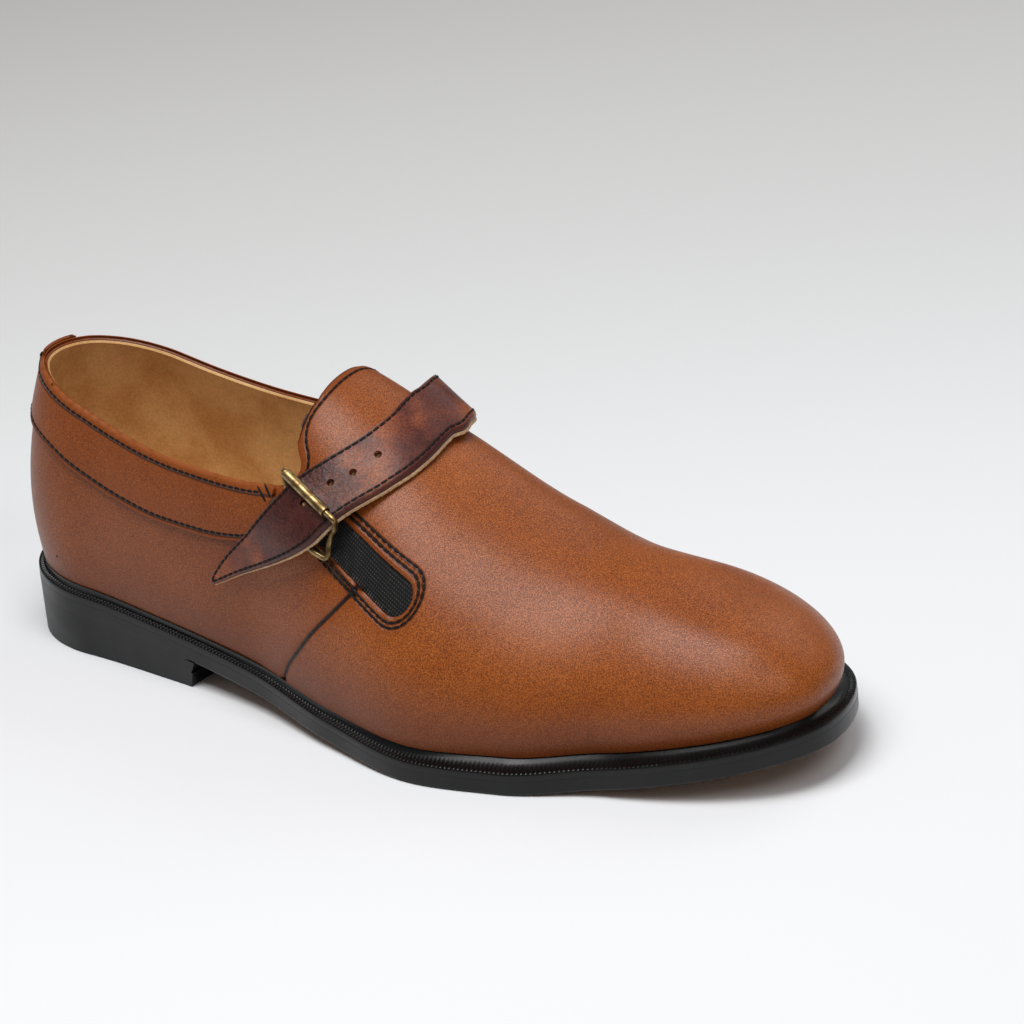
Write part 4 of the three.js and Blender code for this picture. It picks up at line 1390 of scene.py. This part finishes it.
def sweep(path: Array, radii: Sequence[float] | float, closed: bool = False,
          sides: int = 16) -> bmesh.types.BMesh:
    """A round wire along a path.

    Args:
        path: points in millimetres.
        radii: its radius, or one radius for each point.
        closed: whether it runs back to its start.
        sides: corners of its section.

    Returns:
        The closed wire, in metres in the frame.
    """
    mesh = bmesh.new()
    spots = FRAME.metres(path)
    ahead = np.roll(spots, -1, axis=0) - np.roll(spots, 1, axis=0)
    if not closed:
        ahead[0], ahead[-1] = spots[1] - spots[0], spots[-1] - spots[-2]
    radii = np.broadcast_to(np.asarray(radii, float) * MM, (len(spots),))
    turn = Vector(ahead[0]).to_track_quat("Z", "Y")
    ring = bmesh.ops.create_circle(mesh, segments=sides, radius=1.0)["verts"]
    loops = []
    for k, spot in enumerate(spots):
        if k:
            edges = list({edge for vert in ring for edge in vert.link_edges
                          if all(end in set(ring) for end in edge.verts)})
            grown = bmesh.ops.extrude_edge_only(mesh, edges=edges)["geom"]
            fresh = [item for item in grown if isinstance(item, bmesh.types.BMVert)]
            turn = Vector(ahead[k - 1]).rotation_difference(Vector(ahead[k])) @ turn
            matrix = Matrix.LocRotScale(Vector(spot), turn, Vector((radii[k], radii[k], 1)))
            bmesh.ops.transform(mesh, matrix=matrix @ last_matrix.inverted(), verts=fresh)
            ring, last_matrix = fresh, matrix
        else:
            last_matrix = Matrix.LocRotScale(Vector(spot), turn, Vector((radii[k], radii[k], 1)))
            bmesh.ops.transform(mesh, matrix=last_matrix, verts=ring)
        loops.append(ring)
    rims = [edge for edge in mesh.edges if edge.is_boundary]
    if closed:
        bmesh.ops.bridge_loops(mesh, edges=rims)
    else:
        bmesh.ops.holes_fill(mesh, edges=rims, sides=sides)
    bmesh.ops.recalc_face_normals(mesh, faces=mesh.faces)
    return mesh


def joined(meshes: Sequence[bmesh.types.BMesh]) -> bmesh.types.BMesh:
    """One mesh of several."""
    whole = bmesh.new()
    for mesh in meshes:
        data = bpy.data.meshes.new("part")
        mesh.to_mesh(data)
        mesh.free()
        whole.from_mesh(data)
        bpy.data.meshes.remove(data)
    return whole


@dataclass
class Buckle:
    """Bent double frame with its roller and prong; the chape that holds it is made as a piece of its own."""

    station: float = 141.7
    girth: float = -0.4924
    shift: float = 1.4
    waist: float = 10.9
    wire: float = 0.95
    roller_radius: float = 1.7
    roller_wall: float = 0.45
    roller_length: float = 19.4
    roller_seam: float = 0.16
    roller_turn: float = 0.4
    eye_radius: float = 1.65
    eye_wire: float = 0.45
    pin_radius: float = 0.8
    bar_along: float = 4.4
    bar_out: float = 2.1

    def __post_init__(self) -> None:
        """Work the axes out."""
        self.axes = basis(self.station, self.girth)

    def at(self, along: Array | float, across: Array | float, out: Array | float) -> Array:
        """A place in the buckle's axes."""
        along, across, out = np.broadcast_arrays(*(np.asarray(a, float) for a in (along, across, out)))
        return (self.axes["base"] + along[..., None] * self.axes["along"]
                + across[..., None] * self.axes["across"] + out[..., None] * self.axes["out"])

    def frame(self) -> bmesh.types.BMesh:
        """The frame's wire and its centre bar."""
        rows = np.array(WIRE)
        right = self.at(rows[:, 0], self.shift + rows[:, 1], rows[:, 2])
        left = self.at(rows[1:-1, 0], self.shift - rows[1:-1, 1], rows[1:-1, 2])[::-1]
        loop = sweep(smooth_path(np.vstack([right, left]), True, 150), self.wire, closed=True)
        ends = np.array([-self.waist, self.waist])
        bar = sweep(self.at(self.bar_along, self.shift + ends, self.bar_out), self.wire)
        return joined([loop, bar])

    def roller(self) -> bmesh.types.BMesh:
        """The rolled tube on the front bar, open along its seam."""
        def place(u: Array, v: Array, depth: Array) -> Array:
            angle = self.roller_seam / 2 + u * (2 * math.pi - self.roller_seam) + self.roller_turn
            across = (v - 0.5) * self.roller_length
            return self.at(depth * np.cos(angle), across, WIRE[0].out + depth * np.sin(angle))

        inner = self.roller_radius - self.roller_wall
        return Sheet(56, 24).shell(place, inner, self.roller_radius)

    def prong(self) -> bmesh.types.BMesh:
        """The prong: an eye round the centre bar and a pin through the strap."""
        rows = np.array(PRONG)
        pin = smooth_path(self.at(rows[:, 0], rows[:, 1], rows[:, 2]), False, 16)
        turns = np.linspace(0, 2 * math.pi, 25)[:-1]
        eye = self.at(self.bar_along + self.eye_radius * np.cos(turns), PRONG[0].across,
                      self.bar_out + self.eye_radius * np.sin(turns))
        return joined([sweep(eye, self.eye_wire, closed=True, sides=10),
                       sweep(pin, self.pin_radius, sides=12)])

    def build(self) -> None:
        """Make and dress the buckle."""
        brass = AntiqueBrass().material()
        for name, mesh, node in (("buckle_wire", self.frame(), "buckle_frame"),
                                 ("buckle_tube", self.roller(), "buckle_roller"),
                                 ("buckle_pin", self.prong(), "buckle_prong")):
            add_piece(name, mesh, brass, [node])


@dataclass
class Bottom:
    """Outsole, welt and heel."""

    welt_setback: float = 0.05
    notch_pitch: float = 1.45
    notch_depth: float = 0.6
    heel_length: float = 84.0
    breast_rake: float = 1.6
    top_piece: float = 5.0
    cells: int = 150
    cells_across: int = 28
    stack_share: float = 0.6
    tread_radius: float = 0.3
    wheel_middle: float = 1.6
    wheel_width: float = 0.8
    welt_face: float = 2.6
    welt_step: float = 0.2
    welt_tuck: float = 0.4

    def plate(self, reach: float, bottom: Callable[[Array], Array], top: Callable[[Array], Array],
              rake: float = 0.0, radius: float = 0.7) -> bmesh.types.BMesh:
        """A plate with the sole's outline.

        Args:
            reach: station where it ends.
            bottom: heights of its underside at stations.
            top: heights of its upper face.
            rake: how far its front edge leans forward on each side of the middle height.
            radius: rounding of its lower edge in front of the heel.

        Returns:
            The closed plate.
        """
        def place(u: Array, v: Array, depth: Array) -> Array:
            share = LAST.share(reach + rake * (2 * depth - 1) if rake else reach) * u
            lateral = LAST.rim(share, -np.ones_like(share))
            medial = LAST.rim(share, np.ones_like(share))
            turn = (1 - np.cos(np.pi * v)) / 2
            at = lateral + (medial - lateral) * turn[:, None]
            edge = np.minimum(np.linalg.norm(at - lateral, axis=1), np.linalg.norm(at - medial, axis=1))
            low, high = bottom(at[:, 0]), top(at[:, 0])
            over_heel = (at[:, 0] < self.heel_length - 2) & (reach > self.heel_length + 9)
            eased = radius * np.where(over_heel, 0.02, 1)
            z = low + (high - low) * depth + np.where(depth < 0.5, eased - np.sqrt(
                np.maximum(eased**2 - np.clip(eased - edge, 0, None) ** 2, 0)), 0)
            return np.concatenate([at, z[:, None]], axis=1)

        return Sheet(self.cells, self.cells_across).shell(place, 0.0, 1.0)

    def outsole(self) -> bmesh.types.BMesh:
        """The leather outsole."""
        return self.plate(LAST.length, LAST.underside,
                          lambda x: LAST.underside(x) + LAST.outsole_thickness + LAST.gap)

    def welt(self) -> bmesh.types.BMesh:
        """The welt, with the marks of the fudge wheel on its upper edge."""
        foot = LAST.outsole_thickness + LAST.gap
        crest = foot + LAST.welt_thickness
        section = np.array([(0.0, foot), (0.0, foot + 0.5), (0.0, crest - 0.6), (0.25, crest - 0.15),
                            (0.9, crest), (2.0, crest + 0.1), (self.welt_face, crest + self.welt_step)])
        turns, runs = self.perimeter()
        notches = round(runs[-1] / self.notch_pitch)
        climb = LAST.welt_rise - self.welt_step

        def place(u: Array, v: Array, depth: Array) -> Array:
            turn = np.interp(u * runs[-1], runs, turns)
            side = np.where(turn < 0.5, -1.0, 1.0)
            share = np.where(turn < 0.5, 2 * turn, 2 - 2 * turn)
            inner = LAST.inset(LAST.station(share))
            steps = np.linspace(0, 1, len(section) + 2)
            margin = np.interp(v, steps[:-2], section[:, 0])
            height = np.interp(v, steps[:-2], section[:, 1])
            late = np.clip((v - steps[-3]) / (1 - steps[-3]), 0, 1)
            tuck = inner + self.welt_tuck - self.welt_face
            margin = np.where(late > 0, self.welt_face + tuck * late, margin)
            height = np.where(late > 0, crest + self.welt_step + climb * late**2, height)
            notch = np.cos(np.pi * u * notches) ** 4
            band = np.exp(-((margin - self.wheel_middle) / self.wheel_width) ** 2) * (v > steps[3])
            wall = (1 - depth) * 0.8
            at = LAST.rim(share, side, self.welt_setback + margin * np.minimum(1, inner / 3) + wall)
            ground = LAST.underside(at[:, 0])
            z = ground + height - band * (notch * self.notch_depth - self.welt_step) - wall
            z = np.maximum(z, ground + foot)
            return np.concatenate([at, z[:, None]], axis=1)

        return Sheet(notches * 5, 11).shell(place, 0.0, 1.0, is_ring=True)

    def perimeter(self) -> tuple[Array, Array]:
        """Turns round the sole, 0.5 at the toe, and the distances along its edge there."""
        turns = np.linspace(0, 1, 1201)
        side = np.where(turns < 0.5, -1.0, 1.0)
        line = LAST.rim(np.where(turns < 0.5, 2 * turns, 2 - 2 * turns), side)
        return turns, run_along(line)

    def build(self) -> None:
        """Make and dress the bottom."""
        joint = self.top_piece + LAST.gap / 2
        breast = self.breast_rake * self.stack_share
        edge = WaxedEdge("sole_edge", gloss=0.32, underside=srgb(120, 84, 50)).material()
        welt = WaxedEdge("welt_black", gloss=0.22).material()
        heel = WaxedEdge("heel_black", gloss=0.36).material()
        add_piece("sole", self.outsole(), edge, ["outsole"])
        add_piece("welt_cover", self.welt(), welt, ["welt"])
        stack = self.plate(self.heel_length, lambda x: np.full_like(x, joint), LAST.underside, breast, 0.0)
        add_piece("heel_block", stack, heel, ["heel_stack"])
        tread = self.plate(self.heel_length - breast, np.zeros_like, lambda x: np.full_like(x, joint),
                           self.breast_rake - breast, self.tread_radius)
        add_piece("heel_tread", tread, heel, ["heel_top_piece"])


class ChapeRow(NamedTuple):
    """A section of the chape: its place round the last, its edges and its height."""

    girth: float
    back: float
    front: float
    lift: float


CHAPE = table(
    ChapeRow,
    (-0.7, 122, 131, 1.7), (-0.66, 126, 138, 1.8), (-0.6, 130.2, 145.5, 1.0), (-0.555, 132.3, 148.4, 0.8),
    (-0.512, 134.3, 150.4, 0.4),
)


@dataclass
class Chape:
    """Short strap that folds round the buckle's centre bar."""

    buckle: Buckle
    width: float = 17.0
    slot: float = 3.4
    bore: float = 1.2
    thickness: float = 1.0
    edge_radius: float = 0.35
    fold_start: float = 0.2
    fold_turn: float = 1.9

    def tail(self) -> bmesh.types.BMesh:
        """The flat part that lies on the quarter."""
        belt = Belt(CHAPE, ("lift", "lift"))

        def place(u: Array, v: Array, depth: Array) -> Array:
            return belt.place(u, v, depth - roll(belt.margin(u, v), self.edge_radius) * (depth > 0.5))

        return Sheet(24, 18).shell(place, 0.0, self.thickness, grid_marks={"edge": belt.margin})

    def fold(self, start: float, end: float) -> bmesh.types.BMesh:
        """The part of the fold round the bar on one side of the prong's slot.

        Args:
            start: where it starts across the buckle.
            end: where it ends.

        Returns:
            The closed part.
        """
        length = end - start

        def place(u: Array, v: Array, depth: Array) -> Array:
            angle = math.pi * (self.fold_start + self.fold_turn * u)
            across = start + v * length
            return self.buckle.at(self.buckle.bar_along + depth * np.cos(angle), across,
                                  self.buckle.bar_out + depth * np.sin(angle))

        marks = {"edge": lambda u, v: np.minimum(v, 1 - v) * length}
        return Sheet(30, 8).shell(place, self.bore, self.bore + self.thickness, grid_marks=marks)

    def build(self) -> None:
        """Make and dress the chape."""
        middle, prong = self.buckle.shift, PRONG[0].across
        halves = [self.fold(middle - self.width / 2, prong - self.slot / 2),
                  self.fold(prong + self.slot / 2, middle + self.width / 2)]
        leather = StrapLeather("chape_leather", srgb(84, 44, 28), srgb(124, 68, 40), srgb(146, 80, 42))
        add_piece("chape_strap", joined([self.tail(), *halves]), leather.material(), ["chape"])


@dataclass
class Seams:
    """Rows of stitches and bar tacks."""

    pitch: float = 2.6
    length: float = 2.5
    width: float = 0.9
    height: float = 0.5
    sink: float = -0.02
    heel_tack_depth: float = 1.7
    heel_tack_lift: float = 0.75
    heel_tack_ends: tuple[float, float] = (6.2, 8.8)
    collar_tacks: tuple[Ends, ...] = (((117.8, 73.9), (122.4, 70.0)), ((120.6, 75.2), (124.0, 71.4)))
    gore_tack: Ends = ((161.4, 54.1), (166.2, 54.6))
    pinholes: tuple[tuple[float, float, float], ...] = ((25.7, 86.8, 1.1), (25.2, 31.3, -0.15))
    end_rows: tuple[float, float] = (1.4, 2.9)
    end_scale: float = 105.0
    stitches: list[tuple[Array, Array, Array]] = field(default_factory=list)

    def row(self, line: Array, out: Array) -> None:
        """Sew along a line of points in millimetres, with an outward direction at each."""
        reach = run_along(line)
        count = max(int(reach[-1] / self.pitch), 1)
        share = self.length / self.pitch * reach[-1] / count
        for k in range(count):
            middle = (k + 0.5) * reach[-1] / count
            ends = [np.array([np.interp(at, reach, column) for column in line.T])
                    for at in (middle - share / 2, middle + share / 2)]
            up = np.array([np.interp(middle, reach, column) for column in out.T])
            self.stitches.append((*ends, unit(up)))

    def on_last(self, shares: Array, girths: Array, offset: Array | float) -> None:
        """Sew along places of the last, raised by an offset."""
        self.row(LAST.surface(shares, girths, offset - self.sink), LAST.normal(shares, girths))

    def seek(self, value: Callable[[Array], Array], low: Array, high: Array) -> Array:
        """Places between two bounds where a function rises through zero."""
        for _ in range(26):
            middle = (low + high) / 2
            above = value(middle) > 0
            low, high = np.where(above, low, middle), np.where(above, middle, high)
        return (low + high) / 2

    def girths(self, shares: Array, side: Side, margin: Field, distance: float, start: float) -> Array:
        """Places round the last at a distance inside an edge.

        Args:
            shares: shares of the length.
            side: side of the shoe.
            margin: distance inside the edge, for points of the last.
            distance: distance looked for.
            start: how far above the feather line the search starts; below zero for a lower edge.

        Returns:
            One girth for each share.
        """
        def inside(rise: Array) -> Array:
            depth = margin(LAST.surface(shares, side.value * (1 - rise))) - distance
            return depth if start < 0 else -depth

        rise = self.seek(inside, np.full_like(shares, abs(start)), np.full_like(shares, 0.9))
        return side.value * (1 - rise)

    def round_back(self, margin: Field, distance: float, offset: float, front: float, start: float) -> None:
        """Sew a row round the back of the shoe, from a station on one side to the same on the other."""
        shares = np.linspace(0.002, LAST.share(front), 240)
        for side in Side:
            self.on_last(shares, self.girths(shares, side, margin, distance, start), offset)

    def tongue(self, distance: float, offset: float) -> None:
        """Sew the row along the edge of the tongue."""
        girths = np.linspace(-0.535, 0.535, 160)

        def inside(share: Array) -> Array:
            return PROFILES.opening_margin(LAST.surface(share, girths)) - distance

        low, high = np.full(160, LAST.share(100)), np.full(160, LAST.share(190))
        self.on_last(self.seek(inside, low, high), girths, offset)

    def gore(self, side: Side, distance: float, vamp_rise: float) -> None:
        """Sew a row round a gore's window, higher where it crosses the vamp."""
        line = PROFILES.gore(distance)
        line = resample(np.vstack([line, line[:1]]), 160)
        shares, girths = LAST.find(line[:, 0], line[:, 1], side)
        on_vamp = PROFILES.vamp_margin(LAST.surface(shares, girths)) > 0
        self.on_last(shares, girths, np.where(on_vamp, vamp_rise, 0.0))

    def strap(self, strap: Strap) -> None:
        """Sew the strap's edges and its seam on the medial quarter."""
        shares = np.linspace(0, 1, 1200)
        widths = STRAP_BELT.width(shares)
        for upper, distance in zip((False, True), strap.rows):
            cross = np.minimum(distance / widths, 0.5)
            start = int(np.argmax(cross < 0.5))
            u, v = shares[start:-12], cross[start:-12]
            v = 1 - v if upper else v
            line = STRAP_BELT.place(u, v, strap.thickness - roll(np.array(distance), strap.edge_radius))
            self.row(line, STRAP_BELT.normal(u, v))
        for gap in self.end_rows:
            v = np.linspace(0.07, 0.93, 60)
            u = np.full(60, 1 - gap / self.end_scale)
            self.row(STRAP_BELT.place(u, v, strap.thickness), STRAP_BELT.normal(u, v))

    def tack(self, side: Side, a: tuple[float, float], b: tuple[float, float], offset: float) -> None:
        """One thick bar tack between two places seen from the side."""
        ends = np.array([a, b])
        shares, girths = LAST.find(ends[:, 0], ends[:, 1], side)
        points = LAST.surface(shares, girths, offset)
        self.stitches.append((points[0], points[1], LAST.normal(shares, girths).mean(axis=0)))

    def heel_tack(self, side: Side, offset: float) -> None:
        """One bar tack over the topline at a corner of the heel strip."""
        shares = np.linspace(0.004, 0.14, 120)
        girths = self.girths(shares, side, PROFILES.opening_margin, self.heel_tack_depth, 0.05)
        line, out = LAST.surface(shares, girths, offset), LAST.normal(shares, girths)
        a, b = (int(np.argmin(np.abs(np.abs(line[:, 1]) - y))) for y in self.heel_tack_ends)
        self.stitches.append((line[a], line[b], out[a] + out[b]))

    def build(self, strap: Strap, collar: Collar, upper: Upper) -> None:
        """Sew every row and make one piece of the thread."""
        for side in Side:
            self.heel_tack(side, collar.rise + self.heel_tack_lift)
            for ends in self.collar_tacks:
                self.tack(side, *ends, collar.rise)
            self.tack(side, *self.gore_tack, upper.vamp_rise)
        for x, z, offset in self.pinholes:
            self.tack(Side.LATERAL, (x, z), (x + 0.4, z), offset)
        self.round_back(PROFILES.opening_margin, collar.row_from_top, collar.rise, 118, 0.05)
        self.round_back(PROFILES.band_margin, collar.row_from_foot, collar.rise, 119, -0.02)
        self.tongue(upper.tongue_row, upper.vamp_rise)
        for side in Side:
            for distance in upper.gore_rows:
                self.gore(side, distance, upper.vamp_rise)
        self.strap(strap)
        mesh = bmesh.new()
        for a, b, up in self.stitches:
            a, b = FRAME.metres(a), FRAME.metres(b)
            along = unit(b - a)
            across = unit(np.cross(up, along))
            turn = Matrix(np.stack([across, np.cross(along, across), along], axis=1).tolist()).to_4x4()
            size = Matrix.Diagonal((self.width * MM, self.height * MM, np.linalg.norm(b - a), 1))
            matrix = Matrix.Translation(Vector((a + b) / 2)) @ turn @ size
            bmesh.ops.create_uvsphere(mesh, u_segments=8, v_segments=6, radius=0.5, matrix=matrix)
        add_piece("stitching", mesh, Thread().material(), sharp=180)


class Lamp(NamedTuple):
    """A square light, with its place and size in metres and its power in watts."""

    name: str
    place: tuple[float, float, float]
    size: float
    power: float


@dataclass
class Studio:
    """Floor, wall, light and the camera of the photograph."""

    azimuth: float = 40.30
    elevation: float = 24.68
    distance: float = 1536.41
    roll: float = 6.61
    pan: float = 1.14
    tilt: float = 0.49
    lens: float = 175.15
    target: tuple[float, float, float] = (150.0, 0.0, 40.0)
    floor_colour: Colour = srgb(240, 241, 243)
    seam_colour: Colour = srgb(226, 226, 225)
    wall_colour: Colour = srgb(206, 202, 198)
    sky: Colour = (0.95, 0.97, 1.0, 1.0)
    sky_strength: float = 0.16
    lamps: tuple[Lamp, ...] = table(
        Lamp, ("overhead", (0.0, -0.32, 1.38), 0.85, 17), ("key", (0.9, -0.3, 1.0), 0.5, 2.4),
        ("back", (0.2, 1.3, 1.2), 1.2, 4.5),
    )

    def camera(self) -> None:
        """Set the camera up."""
        az, el = math.radians(self.azimuth), math.radians(self.elevation)
        back = np.array([math.sin(az) * math.cos(el), -math.cos(az) * math.cos(el), math.sin(el)])
        right = unit(np.cross(-back, [0, 0, 1]))
        base = np.stack([right, np.cross(right, -back), -back])
        pan = Matrix.Rotation(math.radians(self.pan), 3, "Y")
        tilt = Matrix.Rotation(math.radians(self.tilt), 3, "X")
        roll_turn = Matrix.Rotation(math.radians(self.roll), 3, "Z")
        rows = np.array(roll_turn @ tilt @ Matrix(np.array(pan).T.tolist())) @ base
        place = FRAME.metres(np.array(self.target) + back * self.distance)
        camera = link("camera", bpy.data.cameras.new("camera"))
        camera.data.lens = self.lens
        camera.data.sensor_width = 36
        camera.data.clip_end = 20
        columns = np.stack([rows[0], rows[1], -rows[2]], axis=1)
        camera.matrix_world = Matrix.Translation(Vector(place)) @ Matrix(columns.tolist()).to_4x4()
        bpy.context.scene.camera = camera

    def light(self, lamp: Lamp) -> None:
        """Hang a lamp so that it faces the shoe."""
        data = bpy.data.lights.new(lamp.name, "AREA")
        data.size, data.energy = lamp.size, lamp.power
        turn = (-Vector(lamp.place)).to_track_quat("-Z", "Y").to_matrix().to_4x4()
        link(lamp.name, data).matrix_world = Matrix.Translation(lamp.place) @ turn

    def floor(self) -> None:
        """Add the floor, which runs on into a grey wall far behind the shoe."""
        mesh = bmesh.new()
        bmesh.ops.create_grid(mesh, x_segments=1, y_segments=1, size=6)
        data = bpy.data.meshes.new("floor")
        mesh.to_mesh(data)
        mesh.free()
        g = Graph("floor")
        east, north, _ = g.split(g.place())
        az = math.radians(self.azimuth)
        behind = north * math.cos(az) - east * math.sin(az)
        colour = g.mix(behind.ramp(0.0, 0.42), self.floor_colour, self.seam_colour)
        colour = g.mix(behind.ramp(0.3, 1.1), colour, self.wall_colour)
        data.materials.append(g.finish(colour, 0.8, Specular_IOR_Level=0.2))
        link("floor", data)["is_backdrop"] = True

    def build(self) -> None:
        """Set everything up."""
        self.floor()
        world = bpy.data.worlds.new("studio")
        world.use_nodes = True
        sky = world.node_tree.nodes["Background"].inputs
        sky["Color"].default_value = self.sky
        sky["Strength"].default_value = self.sky_strength
        bpy.context.scene.world = world
        for lamp in self.lamps:
            self.light(lamp)
        self.camera()
        bpy.context.scene.view_settings.view_transform = "Standard"


def main() -> None:
    """Build the loafer, its finishes and the set."""
    upper, collar, strap, buckle = Upper(), Collar(), Strap(), Buckle()
    for part in (upper, collar, Gores(), strap, buckle, Chape(buckle), Bottom()):
        part.build()
        LOG.info("%s done", type(part).__name__)
    Seams().build(strap, collar, upper)
    insole = FRAME.nodes["insole"]
    insole.data.materials.clear()
    insole.data.materials.append(Lining("insole_lining").material())
    Studio().build()
    sizes = {"start": FRAME.start, "end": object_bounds()}
    {key: [[float(a) for a in corner] for corner in box] for key, box in sizes.items()}


if __name__ == "__main__":
    logging.basicConfig(level=logging.INFO, format="%(name)s: %(message)s")
    main()
